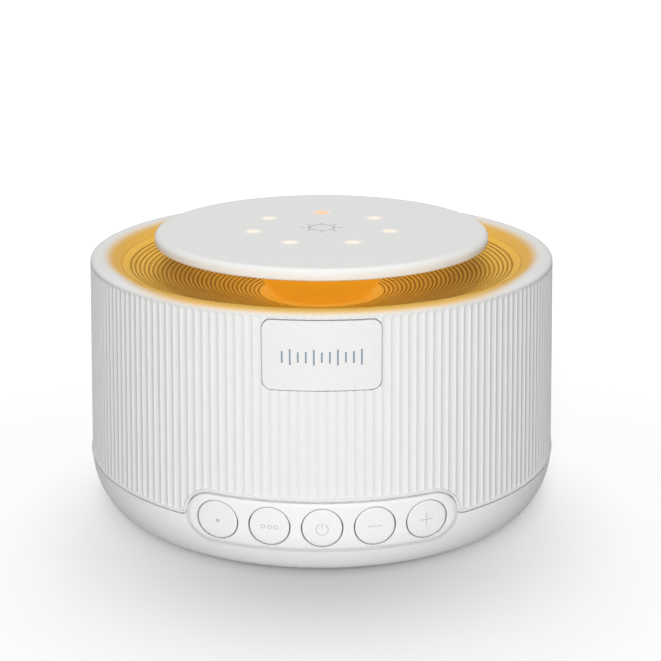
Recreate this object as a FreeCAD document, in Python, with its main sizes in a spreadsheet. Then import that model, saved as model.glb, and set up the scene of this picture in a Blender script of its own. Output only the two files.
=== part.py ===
import FreeCAD, Part
import math
import os

import Sketcher

# White noise sound machine: a round, softly tapered drum with vertical flutes, standing on a
# low bowl-shaped base. A shallow perforated dish closes the top of the drum, a glowing column
# stands in the middle of the dish and carries a flat round touch disc. Five push buttons sit
# in a control pod that follows the curve of the base.
# Millimetres. The front faces -Y, up is +Z, and the feet stand on z = 0 about the axis.

SIZES = {
    # drum
    "drum_radius": 58.0,
    "drum_draft": 1.62,
    "seam_height": 13.0,
    "flute_height": 49.5,
    "flute_depth": 0.36,
    "flute_runout": 1.1,
    "shell_wall": 2.0,
    "rim_rise": 1.2,
    "rim_crest_inset": 1.9,
    "rim_shoulder_inset": 4.1,
    "rim_shoulder_drop": 0.2,
    "bead_width": 0.9,
    "bead_proud": 0.3,
    "seam_gap": 0.3,
    "seam_depth": 0.8,
    # dish
    "dish_radius": 50.3,
    "dish_edge_drop": 1.1,
    "dish_foot_drop": 10.1,
    "dish_flat_radius": 15.0,
    "dish_bow": 0.8,
    "dish_thickness": 1.8,
    "dish_seat_depth": 2.4,
    "dish_seat_width": 3.0,
    "dish_gap": 0.1,
    "grille_inner_radius": 21.5,
    "grille_ring_pitch": 6.3,
    "grille_hole_width": 2.6,
    "seat_thickness": 1.8,
    # light column and disc
    "column_foot_radius": 13.5,
    "column_head_radius": 16.0,
    "column_height": 12.0,
    "column_bore": 10.0,
    "column_flange": 1.5,
    "disc_radius": 41.9,
    "disc_height": 2.9,
    "disc_edge_radius": 1.6,
    "disc_plate": 1.4,
    "disc_skirt": 1.7,
    "tray_edge": 1.2,
    "tray_floor": 1.2,
    "tray_sag_radius": 34.0,
    "tray_gap": 0.1,
    "touch_board_radius": 33.0,
    "board_thickness": 1.0,
    "board_rest": 0.2,
    "indicator_ring": 17.5,
    "indicator_width": 1.6,
    "indicator_height": 0.6,
    "lamp_board_bore": 4.5,
    "lamp_board_gap": 0.3,
    "lamp_ring": 7.2,
    "lamp_width": 2.8,
    "lamp_height": 0.8,
    # base
    "base_wall": 2.4,
    "base_curve_radius": 17.0,
    "base_corner_radius": 4.5,
    "foot_height": 0.7,
    "foot_thickness": 1.5,
    "foot_radius": 4.6,
    "foot_gap": 0.1,
    "tongue_height": 2.5,
    "tongue_width": 1.6,
    "tongue_gap": 0.3,
    # control pod and buttons
    "pod_radius": 60.1,
    "pod_half_height": 5.8,
    "pod_lift": 0.6,
    "pod_back": 46.8,
    "pod_gap": 0.3,
    "button_radius": 4.6,
    "button_gap": 0.2,
    "button_pitch": 11.9,
    "button_flange": 0.8,
    "button_flange_width": 0.5,
    "button_stem_radius": 1.8,
    "button_travel": 0.4,
    "switch_side": 6.0,
    "switch_depth": 3.5,
    "switch_reach": 1.1,
    "plunger_radius": 1.6,
    "plunger_length": 1.9,
    "plunger_gap": 0.1,
    "key_board_thickness": 1.6,
    "key_board_front": 39.9,
    "key_board_half_width": 29.5,
    "key_board_height": 11.0,
    "rail_width": 3.0,
    "rail_depth": 5.0,
    "rail_grip": 1.0,
    "rail_gap": 0.05,
    # front plate
    "plate_width": 26.1,
    "plate_height": 15.8,
    "plate_bottom": 32.8,
    "plate_corner": 2.0,
    "plate_thickness": 1.2,
    "plate_proud": 0.15,
    "plate_gap": 0.15,
    # speaker and its baffle
    "baffle_thickness": 2.4,
    "baffle_drop": 3.1,
    "baffle_gap": 0.4,
    "baffle_boss_ring": 50.5,
    "baffle_boss_radius": 2.8,
    "speaker_radius": 30.0,
    "speaker_opening": 25.0,
    "speaker_flange": 1.2,
    "speaker_depth": 17.0,
    "speaker_throat": 17.5,
    "speaker_wall": 1.0,
    "gasket_thickness": 0.8,
    "magnet_radius": 18.0,
    "magnet_height": 9.0,
    "pole_radius": 6.2,
    "coil_radius": 6.9,
    "coil_wall": 0.3,
    "coil_clearance": 0.25,
    "coil_length": 7.5,
    "cone_wall": 0.6,
    "surround_width": 4.2,
    "surround_height": 1.6,
    "speaker_screw_ring": 28.0,
    # boards in the base
    "main_board_thickness": 1.6,
    "main_board_half_width": 25.0,
    "main_board_front": -14.0,
    "main_board_back": 42.0,
    "main_board_tab_width": 20.0,
    "main_board_tab_back": 53.0,
    "main_board_lift": 2.9,
    "board_post_radius": 2.6,
    "board_post_inset": 3.5,
    "inlet_width": 9.0,
    "inlet_height": 3.2,
    "inlet_length": 7.4,
    "inlet_overhang": 5.0,
    "inlet_gap": 0.15,
    # bosses and screws
    "case_boss_ring": 47.5,
    "case_boss_radius": 3.2,
    "case_boss_foot": 16.2,
    "case_boss_length": 18.0,
    "case_screw_radius": 1.4,
    "case_screw_head": 2.5,
    "case_screw_head_height": 1.8,
    "case_screw_reach": 10.0,
    "case_head_depth": 8.0,
    "small_screw_radius": 1.0,
    "small_screw_head": 1.8,
    "small_screw_head_height": 1.2,
    "small_screw_reach": 5.0,
    "screw_gap": 0.05,
}

FLUTE_COUNT = 180
GRILLE_RINGS = 5
GRILLE_FIRST_RING = 12
GRILLE_RING_STEP = 3
INDICATOR_COUNT = 7
LAMP_COUNT = 6
QUARTER_ANGLES = (45.0, 135.0, 225.0, 315.0)
BAFFLE_BOSS_ANGLES = (15.0, 165.0, 205.0, 335.0)
SPEAKER_SCREW_ANGLES = (0.0, 90.0, 180.0, 270.0)
BUTTON_NAMES = ("dot", "mode", "power", "minus", "plus")


class Size:
    """A length held as a number together with the sheet formula that gives it."""

    def __init__(self, formula, value):
        self.formula = formula
        self.value = value

    def __add__(self, other):
        other = as_size(other)
        return Size(f"({self.formula} + {other.formula})", self.value + other.value)

    def __sub__(self, other):
        other = as_size(other)
        return Size(f"({self.formula} - {other.formula})", self.value - other.value)

    def __mul__(self, factor):
        return Size(f"({self.formula} * {factor:.9f})", self.value * factor)

    def __neg__(self):
        return self * -1.0

    __radd__ = __add__

    def __rsub__(self, other):
        return as_size(other) - self

    __rmul__ = __mul__


def as_size(value):
    if isinstance(value, Size):
        return value
    return Size(f"{value:.9f}", float(value))


def size(alias):
    return Size(f"sizes.{alias}", SIZES[alias])


doc = FreeCAD.newDocument("sound_machine")
sheet = doc.addObject("Spreadsheet::Sheet", "sizes")
for row, (alias, number) in enumerate(SIZES.items(), start=1):
    sheet.set(f"A{row}", alias)
    sheet.set(f"B{row}", str(number))
    sheet.setAlias(f"B{row}", alias)
doc.recompute()

# Levels and radii that several pieces share.
SEAM = size("seam_height")
FLUTE_TOP = SEAM + size("flute_height")
CREST = FLUTE_TOP + size("rim_rise")
CREST_RADIUS = size("drum_radius") - size("rim_crest_inset")
SHOULDER_RADIUS = size("drum_radius") - size("rim_shoulder_inset")
SHOULDER = CREST - size("rim_shoulder_drop")
SEAM_RADIUS = size("drum_radius") + size("drum_draft")
INNER_TOP_RADIUS = size("drum_radius") - size("flute_depth") - size("shell_wall")
INNER_SEAM_RADIUS = INNER_TOP_RADIUS + size("drum_draft")
DISH_EDGE = FLUTE_TOP - size("dish_edge_drop")
DISH_FOOT = FLUTE_TOP - size("dish_foot_drop")
DISH_SEAT = DISH_EDGE - size("dish_seat_depth")
SEAT_UNDERSIDE = DISH_SEAT - size("seat_thickness")
TRAY_BOTTOM = DISH_FOOT + size("column_height")
TRAY_FLOOR_TOP = TRAY_BOTTOM + size("tray_floor")
TOUCH_BOARD_BOTTOM = TRAY_FLOOR_TOP + size("board_rest")
TOUCH_BOARD_TOP = TOUCH_BOARD_BOTTOM + size("board_thickness")
DISC_PLATE_BOTTOM = TOUCH_BOARD_TOP + size("indicator_height") + size("tray_gap")
DISC_TOP = DISC_PLATE_BOTTOM + size("disc_plate")
DISC_BOTTOM = DISC_TOP - size("disc_height")
BASE_BOTTOM = size("foot_height")
FLOOR_TOP = BASE_BOTTOM + size("base_wall")
POD_LEVEL = SEAM + size("pod_lift")
BAFFLE_TOP = DISH_FOOT - size("dish_thickness") - size("baffle_drop")
BAFFLE_BOTTOM = BAFFLE_TOP - size("baffle_thickness")
FLANGE_TOP = BAFFLE_BOTTOM - size("gasket_thickness")
FLANGE_BOTTOM = FLANGE_TOP - size("speaker_flange")
BASKET_BOTTOM = FLANGE_TOP - size("speaker_depth")
MAGNET_BOTTOM = BASKET_BOTTOM - size("magnet_height")
MAIN_BOARD_BOTTOM = FLOOR_TOP + size("main_board_lift")
MAIN_BOARD_TOP = MAIN_BOARD_BOTTOM + size("main_board_thickness")


def bind(item, prop, length):
    if isinstance(length, Size):
        item.setExpression(prop, length.formula)
    else:
        setattr(item, prop, length)


def place(item, at, turn=None):
    """Put an item at a point, its coordinates tied to the sheet, turned first if asked."""
    start = [as_size(value) for value in at]
    rotation = turn if turn else FreeCAD.Rotation()
    item.Placement = FreeCAD.Placement(FreeCAD.Vector(*[value.value for value in start]), rotation)
    for axis, value in zip("xyz", start):
        item.setExpression(f"Placement.Base.{axis}", value.formula)
    return item


HALF_CIRCLE = "half circle"
ALONG_Y = FreeCAD.Rotation(FreeCAD.Vector(1, 0, 0), -90)


def rod(name, radius, length, at, along_y=False):
    item = doc.addObject("Part::Cylinder", name)
    bind(item, "Radius", radius)
    bind(item, "Height", length)
    return place(item, at, ALONG_Y if along_y else None)


def six_sided(name, radius, length, at):
    """An upright hexagonal pin, measured over its corners."""
    item = doc.addObject("Part::Prism", name)
    item.Polygon = 6
    bind(item, "Circumradius", radius)
    bind(item, "Height", length)
    return place(item, at)


def block(name, across, deep, tall, at):
    """A box centred on x and y over the given point."""
    item = doc.addObject("Part::Box", name)
    across, deep, tall = as_size(across), as_size(deep), as_size(tall)
    bind(item, "Length", across)
    bind(item, "Width", deep)
    bind(item, "Height", tall)
    return place(item, (at[0] - across * 0.5, at[1] - deep * 0.5, at[2]))


def join(name, items):
    item = doc.addObject("Part::MultiFuse", name)
    item.Shapes = items
    return item


def cut(name, base, tools):
    item = doc.addObject("Part::Cut", name)
    item.Base = base
    item.Tool = tools[0] if len(tools) == 1 else join(name + "_tools", tools)
    return item


def overlap(name, items):
    item = doc.addObject("Part::MultiCommon", name)
    item.Shapes = items
    return item


def group(name, items):
    item = doc.addObject("Part::Compound", name)
    item.Links = items
    return item


def on_ring(radius, angle):
    """The x and y of a point on a ring about the axis, the angle measured from +X."""
    radius = as_size(radius)
    return radius * math.cos(math.radians(angle)), radius * math.sin(math.radians(angle))


def outline(body, name, role, corners, arcs=None):
    """A closed sketch through corners tied to the sheet.

    arcs maps the number of a side to (radius, left), where left says that the arc's centre
    lies to the left of the walk from that side's first corner to its second. An upright side
    may have HALF_CIRCLE for its radius.
    """
    arcs = arcs or {}
    sketch = body.newObject("Sketcher::SketchObject", name)
    plane = next(item for item in body.Origin.OriginFeatures if item.Role == role)
    sketch.AttachmentSupport = [(plane, "")]
    sketch.MapMode = "FlatFace"
    points = [FreeCAD.Vector(as_size(x).value, as_size(y).value, 0) for x, y in corners]
    ends = []
    for side, start in enumerate(points):
        end = points[(side + 1) % len(points)]
        if side in arcs:
            radius, left = arcs[side]
            if radius is HALF_CIRCLE:
                radius = (end - start).Length / 2
            shape, flipped = arc_between(start, end, as_size(radius).value, left)
            sketch.addGeometry(shape)
            ends.append((2, 1) if flipped else (1, 2))
        else:
            sketch.addGeometry(Part.LineSegment(start, end))
            ends.append((1, 2))
    for side in range(len(points)):
        after = (side + 1) % len(points)
        sketch.addConstraint(Sketcher.Constraint("Coincident", side, ends[side][1], after, ends[after][0]))
    for side, (x, y) in enumerate(corners):
        for kind, value, axis in (("DistanceX", as_size(x), -2), ("DistanceY", as_size(y), -1)):
            if abs(value.value) < 1e-9:
                sketch.addConstraint(Sketcher.Constraint("PointOnObject", side, ends[side][0], axis))
                continue
            number = sketch.addConstraint(
                Sketcher.Constraint(kind, -1, 1, side, ends[side][0], value.value))
            sketch.setExpression(f"Constraints[{number}]", value.formula)
        if side in arcs and arcs[side][0] is HALF_CIRCLE:
            number = sketch.addConstraint(Sketcher.Constraint("DistanceX", -1, 1, side, 3, as_size(x).value))
            sketch.setExpression(f"Constraints[{number}]", as_size(x).formula)
        elif side in arcs:
            radius = as_size(arcs[side][0])
            number = sketch.addConstraint(Sketcher.Constraint("Radius", side, radius.value))
            sketch.setExpression(f"Constraints[{number}]", radius.formula)
    return sketch


def round_corner(centre, radius, first, last, steps):
    """Points in even steps along an arc, from one angle to another, for a turned outline."""
    points = []
    for step in range(steps + 1):
        angle = math.radians(first + (last - first) * step / steps)
        points.append((centre[0] + radius * math.cos(angle), centre[1] + radius * math.sin(angle)))
    return points


def arc_between(start, end, radius, left):
    """An arc of a given radius from start to end, and whether it is stored end first."""
    chord = end - start
    half = chord.Length / 2
    normal = FreeCAD.Vector(-chord.y, chord.x, 0).normalize()
    rise = math.sqrt(max(radius * radius - half * half, 0))
    centre = start + chord * 0.5 + normal * (rise if left else -rise)
    first, last = (start, end) if left else (end, start)
    first_angle = math.atan2(first.y - centre.y, first.x - centre.x)
    last_angle = math.atan2(last.y - centre.y, last.x - centre.x)
    circle = Part.Circle(centre, FreeCAD.Vector(0, 0, 1), radius)
    return Part.ArcOfCircle(circle, first_angle, last_angle), not left


def turned(name, corners, arcs=None):
    """A body turned about the vertical axis from an outline of (radius, height) corners."""
    body = doc.addObject("PartDesign::Body", name)
    sketch = outline(body, name + "_outline", "XZ_Plane", corners, arcs)
    feature = body.newObject("PartDesign::Revolution", name + "_turn")
    feature.Profile = sketch
    feature.ReferenceAxis = (sketch, ["V_Axis"])
    feature.Angle = 360.0
    return body


def padded(name, role, corners, length, offset, arcs=None):
    """A body padded from an outline on a plane that is moved along its normal."""
    body = doc.addObject("PartDesign::Body", name)
    sketch = outline(body, name + "_outline", role, corners, arcs)
    sketch.setExpression("AttachmentOffset.Base.z", as_size(offset).formula)
    feature = body.newObject("PartDesign::Pad", name + "_pad")
    feature.Profile = sketch
    bind(feature, "Length", length)
    return body


def stadium(name, grow):
    """The pod's outline, grown by a margin, as a bar that runs from the back of the pod forward."""
    end = size("button_pitch") * 2.0
    high = size("pod_half_height") + grow
    corners = [(-end, POD_LEVEL - high), (end, POD_LEVEL - high),
               (end, POD_LEVEL + high), (-end, POD_LEVEL + high)]
    arcs = {1: (HALF_CIRCLE, True), 3: (HALF_CIRCLE, True)}
    reach = size("pod_radius") - size("pod_back") + 5.0
    return padded(name, "XZ_Plane", corners, reach, size("pod_back"), arcs)


def fluted_solid():
    """The drum's outside: scallops that meet in sharp cusps, tapered, and run out at the top."""
    count = FLUTE_COUNT
    top = FLUTE_TOP.value
    runout = top - SIZES["flute_runout"]

    def radius_at(height):
        share = (height - SEAM.value) / SIZES["flute_height"]
        return SEAM_RADIUS.value - SIZES["drum_draft"] * share

    def ring(height, depth):
        radius = radius_at(height)
        pitch = 2 * math.pi / count
        points = []
        for number in range(count):
            for share, ray in ((0.0, radius), (0.28, radius - depth), (0.72, radius - depth)):
                angle = (number + share) * pitch
                points.append(FreeCAD.Vector(ray * math.cos(angle), ray * math.sin(angle), height))
        return Part.makePolygon(points + points[:1])

    depth = SIZES["flute_depth"]
    straight = Part.makeLoft([ring(SEAM.value, depth), ring(runout, depth)], True, True)
    ending = Part.makeLoft([ring(runout, depth), ring(top, depth * 0.02)], True, True)
    return straight.fuse(ending)


def drum_band(name, outward, inward, low, high):
    """A ring that follows the taper of the drum between two offsets from its cusps."""
    slope = SIZES["drum_draft"] / SIZES["flute_height"]
    low, high = as_size(low), as_size(high)

    def cusp(level):
        return SEAM_RADIUS - (level - SEAM) * slope

    return turned(name, [
        (cusp(low) - inward, low), (cusp(low) + outward, low),
        (cusp(high) + outward, high), (cusp(high) - inward, high)])


def plate_bar(name, grow):
    """The front plate's rounded rectangle as a bar that runs forward from behind the wall."""
    half = size("plate_width") * 0.5 + grow
    low = SEAM + size("plate_bottom") - grow
    high = low + size("plate_height") + as_size(grow) * 2.0
    corner = size("plate_corner") + grow
    corners = [(-half + corner, low), (half - corner, low), (half, low + corner),
               (half, high - corner), (half - corner, high), (-half + corner, high),
               (-half, high - corner), (-half, low + corner)]
    arcs = {1: (corner, True), 3: (corner, True), 5: (corner, True), 7: (corner, True)}
    return padded(name, "XZ_Plane", corners, size("drum_radius") * 0.5, size("drum_radius") * 0.7, arcs)


def make_main_shell():
    skin = doc.addObject("Part::Feature", "drum_skin")
    skin.Shape = fluted_solid()
    crest_drop = size("rim_rise") * 0.3
    crest_in = size("rim_crest_inset") * 0.38
    rim = turned("rim_form", [
        (0, FLUTE_TOP), (size("drum_radius"), FLUTE_TOP), (size("drum_radius") - crest_in, CREST - crest_drop),
        (CREST_RADIUS, CREST), (SHOULDER_RADIUS, SHOULDER), (size("dish_radius"), DISH_EDGE), (0, DISH_EDGE)])
    bead = drum_band("bead_ring", size("bead_proud"), size("shell_wall"), SEAM, SEAM + size("bead_width"))
    band = drum_band("bead_band", size("bead_proud"), size("shell_wall"), SEAM,
                     POD_LEVEL + size("pod_half_height") + size("pod_gap") + size("bead_width"))
    pod_bead = overlap("pod_bead", [band, stadium("pod_bead_bar", size("pod_gap") + size("bead_width"))])
    outside = join("shell_outside", [skin, rim, bead, pod_bead])
    cavity = turned("shell_cavity", [
        (0, SEAM), (INNER_SEAM_RADIUS, SEAM), (INNER_TOP_RADIUS, SEAT_UNDERSIDE), (0, SEAT_UNDERSIDE)])
    seat_radius = size("dish_radius") - size("dish_seat_width")
    mouth = rod("dish_mouth", size("dish_radius"), CREST - DISH_SEAT, (0, 0, DISH_SEAT))
    throat = rod("dish_throat", seat_radius, CREST - SEAT_UNDERSIDE, (0, 0, SEAT_UNDERSIDE))
    pod_window = stadium("pod_window", size("pod_gap"))
    plate_sink = overlap("plate_sink", [
        plate_bar("plate_sink_bar", size("plate_gap")),
        drum_band("plate_sink_band", 2.0, size("plate_thickness") - size("plate_proud"), SEAM, FLUTE_TOP)])
    hollow = cut("shell_hollow", outside, [cavity, mouth, throat, pod_window, plate_sink])
    bosses = [hollow]
    holes = []
    for angle in QUARTER_ANGLES:
        bosses += case_boss(angle)
        x, y = on_ring(size("case_boss_ring"), angle)
        holes.append(six_sided("case_boss_hole", size("case_screw_radius") + size("screw_gap"),
                         size("case_screw_reach"), (x, y, size("case_boss_foot"))))
    for angle in BAFFLE_BOSS_ANGLES:
        x, y = on_ring(size("baffle_boss_ring"), angle)
        bosses.append(rod("baffle_boss", size("baffle_boss_radius"), SEAT_UNDERSIDE - BAFFLE_TOP,
                          (x, y, BAFFLE_TOP)))
        holes.append(six_sided("baffle_boss_hole", size("small_screw_radius") + size("screw_gap"),
                         size("small_screw_reach"), (x, y, BAFFLE_TOP)))
    return cut("main_shell", join("shell_with_bosses", bosses), holes)


def case_boss(angle):
    """A screw boss inside the drum with the web that joins it to the wall."""
    x, y = on_ring(size("case_boss_ring"), angle)
    boss = rod("case_boss", size("case_boss_radius"), size("case_boss_length"), (x, y, size("case_boss_foot")))
    web = doc.addObject("Part::Box", "case_boss_web")
    reach = INNER_TOP_RADIUS - size("case_boss_ring") + size("shell_wall") * 0.5
    bind(web, "Length", reach)
    bind(web, "Width", size("shell_wall"))
    bind(web, "Height", size("case_boss_length"))
    half = size("shell_wall") * 0.5
    turn = FreeCAD.Rotation(FreeCAD.Vector(0, 0, 1), angle)
    sideways = half * math.sin(math.radians(angle)), half * -math.cos(math.radians(angle))
    place(web, (x + sideways[0], y + sideways[1], size("case_boss_foot")), turn)
    return [boss, web]


def make_dish_grille():
    edge = size("dish_radius") - size("dish_gap")
    inside = size("dish_radius") - size("dish_seat_width") - size("dish_gap")
    flat = size("dish_flat_radius")
    middle = (flat + edge) * 0.5
    bow = size("dish_bow")
    thick = size("dish_thickness")
    dish = turned("dish_form", [
        (0, DISH_FOOT - thick), (flat, DISH_FOOT - thick), (inside, DISH_SEAT),
        (edge, DISH_SEAT), (edge, DISH_EDGE), (middle, (DISH_EDGE + DISH_FOOT) * 0.5 - bow),
        (flat, DISH_FOOT), (0, DISH_FOOT)])
    holes = doc.addObject("Part::Feature", "dish_holes")
    holes.Shape = Part.makeCompound(grille_holes())
    cable = rod("cable_hole", size("lamp_board_bore"), thick + 2.0, (0, 0, DISH_FOOT - thick - 1.0))
    return cut("dish_grille", dish, [holes, cable])


def grille_holes():
    """Upright square pins, set in rings with more to each ring, that pierce the dish."""
    width = SIZES["grille_hole_width"]
    low = DISH_FOOT.value - SIZES["dish_thickness"] - 1.0
    tall = CREST.value - low
    pins = []
    for ring in range(GRILLE_RINGS):
        radius = SIZES["grille_inner_radius"] + ring * SIZES["grille_ring_pitch"]
        count = GRILLE_FIRST_RING + ring * GRILLE_RING_STEP
        for number in range(count):
            angle = 360.0 * (number + 0.5 * (ring % 2)) / count
            pin = Part.makeBox(width, width, tall, FreeCAD.Vector(radius - width / 2, -width / 2, low))
            pin.rotate(FreeCAD.Vector(0, 0, 0), FreeCAD.Vector(0, 0, 1), angle)
            pins.append(pin)
    return pins


def make_light_column():
    foot = size("column_foot_radius")
    head = size("column_head_radius")
    flange = size("column_flange")
    bore = size("column_bore")
    return turned("light_column", [
        (bore, DISH_FOOT), (foot, DISH_FOOT), (foot + (head - foot) * 0.3, TRAY_BOTTOM - flange * 3.0),
        (head, TRAY_BOTTOM - flange), (head, TRAY_BOTTOM), (bore, TRAY_BOTTOM)])


def make_lamp_board():
    outer = size("column_bore") - size("lamp_board_gap")
    top = DISH_FOOT + size("board_thickness")
    return turned("lamp_board", [
        (size("lamp_board_bore"), DISH_FOOT), (outer, DISH_FOOT), (outer, top), (size("lamp_board_bore"), top)])


def make_lamp_leds():
    level = DISH_FOOT + size("board_thickness")
    leds = []
    for number in range(LAMP_COUNT):
        x, y = on_ring(size("lamp_ring"), 360.0 * number / LAMP_COUNT)
        leds.append(block("lamp_led", size("lamp_width"), size("lamp_width"), size("lamp_height"), (x, y, level)))
    return group("lamp_leds", leds)


def make_top_disc():
    outer = size("disc_radius")
    edge = size("disc_edge_radius")
    inner = outer - size("disc_skirt")
    tray_seat = DISC_BOTTOM + size("tray_edge") - size("board_rest")
    return turned("top_disc", [
        (0, DISC_PLATE_BOTTOM), (inner - 1.2, DISC_PLATE_BOTTOM), (inner - 1.2, tray_seat),
        (inner, tray_seat), (inner, DISC_BOTTOM), (outer - 0.6, DISC_BOTTOM), (outer, DISC_BOTTOM + 0.6),
        *round_corner((outer - edge, DISC_TOP - edge), edge, 0.0, 90.0, 3), (0, DISC_TOP)])


def make_disc_tray():
    outer = size("disc_radius") - size("disc_skirt") - size("tray_gap")
    top = DISC_BOTTOM + size("tray_edge") - size("board_rest")
    sag = size("tray_sag_radius")
    tray = turned("tray_form", [
        (0, TRAY_BOTTOM), (sag - 3.0, TRAY_BOTTOM), (outer, top - size("tray_edge")), (outer, top),
        (outer - 1.6, top), (sag + 0.5, TRAY_FLOOR_TOP), (0, TRAY_FLOOR_TOP)])
    rest_radius = size("touch_board_radius") - 1.0
    rest = turned("tray_rest", [
        (rest_radius - 1.5, TRAY_FLOOR_TOP - 0.2), (rest_radius, TRAY_FLOOR_TOP - 0.2),
        (rest_radius, TOUCH_BOARD_BOTTOM), (rest_radius - 1.5, TOUCH_BOARD_BOTTOM)])
    cable = rod("tray_cable_hole", size("lamp_board_bore"), size("tray_floor") + 2.0, (0, 0, TRAY_BOTTOM - 1.0))
    return cut("disc_tray", join("tray_blank", [tray, rest]), [cable])


def make_touch_board():
    return rod("touch_board", size("touch_board_radius"), size("board_thickness"), (0, 0, TOUCH_BOARD_BOTTOM))


def make_indicator_leds():
    leds = []
    for number in range(INDICATOR_COUNT):
        x, y = on_ring(size("indicator_ring"), 90.0 + 360.0 * number / INDICATOR_COUNT)
        leds.append(block("indicator_led", size("indicator_width"), size("indicator_width"),
                          size("indicator_height"), (x, y, TOUCH_BOARD_TOP)))
    return group("indicator_leds", leds)


def make_base_shell():
    wall = size("base_wall")
    big = size("base_curve_radius")
    small = size("base_corner_radius")
    top = SEAM - size("seam_gap")
    big_x = SEAM_RADIUS - big
    small_y = BASE_BOTTOM + small
    drop = top.value - small_y.value
    # The corner arc and the side arc touch where the line through both centres meets them.
    dip = math.degrees(math.asin(drop / (big.value - small.value)))
    corner_x = big_x + (big - small) * math.cos(math.radians(dip))
    corner = round_corner((corner_x, small_y), small, -90.0, -dip, 2)
    side = round_corner((big_x, top), big, -dip, 0.0, 2)
    join_y = side[0][1]
    tongue_out = INNER_SEAM_RADIUS - size("tongue_gap")
    tongue_in = tongue_out - size("tongue_width")
    bowl = turned("bowl", [
        (0, BASE_BOTTOM), *corner, *side[1:],
        (SEAM_RADIUS - size("seam_depth"), top), (SEAM_RADIUS - size("seam_depth"), SEAM),
        (tongue_out, SEAM), (tongue_out, SEAM + size("tongue_height")),
        (tongue_in, SEAM + size("tongue_height")), (tongue_in, join_y + wall),
        (corner_x, FLOOR_TOP), (0, FLOOR_TOP)])
    pod = overlap("pod_block", [
        stadium("pod_bar", 0.0), rod("pod_face", size("pod_radius"), SEAM * 3.0, (0, 0, 0))])
    solids = [bowl, pod]
    cuts = []
    for angle in QUARTER_ANGLES:
        x, y = on_ring(size("case_boss_ring"), angle)
        solids.append(rod("case_post", size("case_boss_radius") + 0.8, size("case_boss_foot") - FLOOR_TOP,
                          (x, y, FLOOR_TOP)))
        sink_top = BASE_BOTTOM + foot_sink()
        cuts.append(rod("foot_sink", size("foot_radius") + size("foot_gap"), foot_sink(), (x, y, BASE_BOTTOM)))
        cuts.append(six_sided("head_sink", size("case_screw_head") + 0.3, size("case_head_depth"), (x, y, sink_top)))
        cuts.append(six_sided("case_hole", size("case_screw_radius") + size("screw_gap"), size("case_boss_foot"),
                        (x, y, sink_top)))
    for x, y in board_post_places():
        solids.append(rod("board_post", size("board_post_radius"), size("main_board_lift"), (x, y, FLOOR_TOP)))
        cuts.append(six_sided("board_post_hole", size("small_screw_radius") + size("screw_gap"),
                        size("main_board_lift"), (x, y, FLOOR_TOP)))
    rail_middle = -(size("key_board_front") - size("key_board_thickness") * 0.5)
    rail_tall = POD_LEVEL + size("key_board_height") * 0.5 - FLOOR_TOP
    for side in (-1.0, 1.0):
        rail_x = (size("key_board_half_width") + size("rail_width") * 0.5 - size("rail_grip")) * side
        solids.append(block("key_rail", size("rail_width"), size("rail_depth"), rail_tall,
                            (rail_x, rail_middle, FLOOR_TOP)))
    cuts.append(block("key_slot", (size("key_board_half_width") + size("rail_gap")) * 2.0,
                      size("key_board_thickness") + size("rail_gap") * 2.0, rail_tall,
                      (0, rail_middle, POD_LEVEL - size("key_board_height") * 0.5)))
    for x in button_places():
        cuts.append(rod("button_bore", size("button_radius") + size("button_gap"), size("pod_radius"),
                        (x, -size("pod_radius") - 5.0, POD_LEVEL), along_y=True))
    cuts[-len(BUTTON_NAMES):] = [trimmed_bore(item) for item in cuts[-len(BUTTON_NAMES):]]
    cuts.append(inlet_slot("inlet_window", size("inlet_gap"), size("base_wall") * 3.0,
                           size("main_board_tab_back") + 1.0))
    return cut("base_shell", join("base_blank", solids), cuts)


def trimmed_bore(bore):
    """A bore stops just behind the pod, short of the rails and the boards."""
    bind(bore, "Height", size("pod_radius") - size("pod_back") + 6.0)
    return bore


def foot_sink():
    return size("foot_thickness") - size("foot_height")


def button_places():
    return [size("button_pitch") * float(number - 2) for number in range(len(BUTTON_NAMES))]


def board_post_places():
    inset = size("board_post_inset")
    across = size("main_board_half_width") - inset
    front = size("main_board_front") + inset
    back = size("main_board_back") - inset
    return [(across * side, y) for side in (-1.0, 1.0) for y in (front, back)]


def inlet_slot(name, grow, length, start):
    """The rounded slot of the power inlet as a bar that runs towards +Y from start."""
    body = doc.addObject("PartDesign::Body", name)
    high = size("inlet_height") * 0.5 + grow
    end = size("inlet_width") * 0.5 + grow - high
    level = MAIN_BOARD_TOP + size("inlet_height") * 0.5
    corners = [(-end, level - high), (end, level - high), (end, level + high), (-end, level + high)]
    sketch = outline(body, name + "_outline", "XZ_Plane", corners,
                     {1: (HALF_CIRCLE, True), 3: (HALF_CIRCLE, True)})
    sketch.setExpression("AttachmentOffset.Base.z", (as_size(start) * -1.0).formula)
    feature = body.newObject("PartDesign::Pad", name + "_pad")
    feature.Profile = sketch
    feature.Reversed = True
    bind(feature, "Length", length)
    return body


def make_button(number, name):
    x = button_places()[number]
    radius = size("button_radius")
    back = -size("pod_back")
    reach = size("pod_radius") - size("pod_back") + 4.0
    barrel = rod(f"{name}_barrel", radius, reach, (x, back - reach, POD_LEVEL), along_y=True)
    face = rod(f"{name}_face", size("pod_radius"), SEAM * 3.0, (0, 0, 0))
    cap = overlap(f"{name}_cap", [barrel, face])
    flange = rod(f"{name}_flange", radius + size("button_flange_width"), size("button_flange"),
                 (x, back, POD_LEVEL), along_y=True)
    stem_end = -(switch_front() + size("switch_reach"))
    stem = rod(f"{name}_stem", size("button_stem_radius"), stem_end - back, (x, back, POD_LEVEL), along_y=True)
    return join(f"button_{name}", [cap, flange, stem])


def switch_front():
    return size("key_board_front") + size("switch_depth")


def make_plunger(number, name):
    x = button_places()[number]
    start = -(switch_front() + size("switch_reach"))
    return rod(f"switch_plunger_{name}", size("plunger_radius"), size("plunger_length"),
               (x, start, POD_LEVEL), along_y=True)


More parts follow.
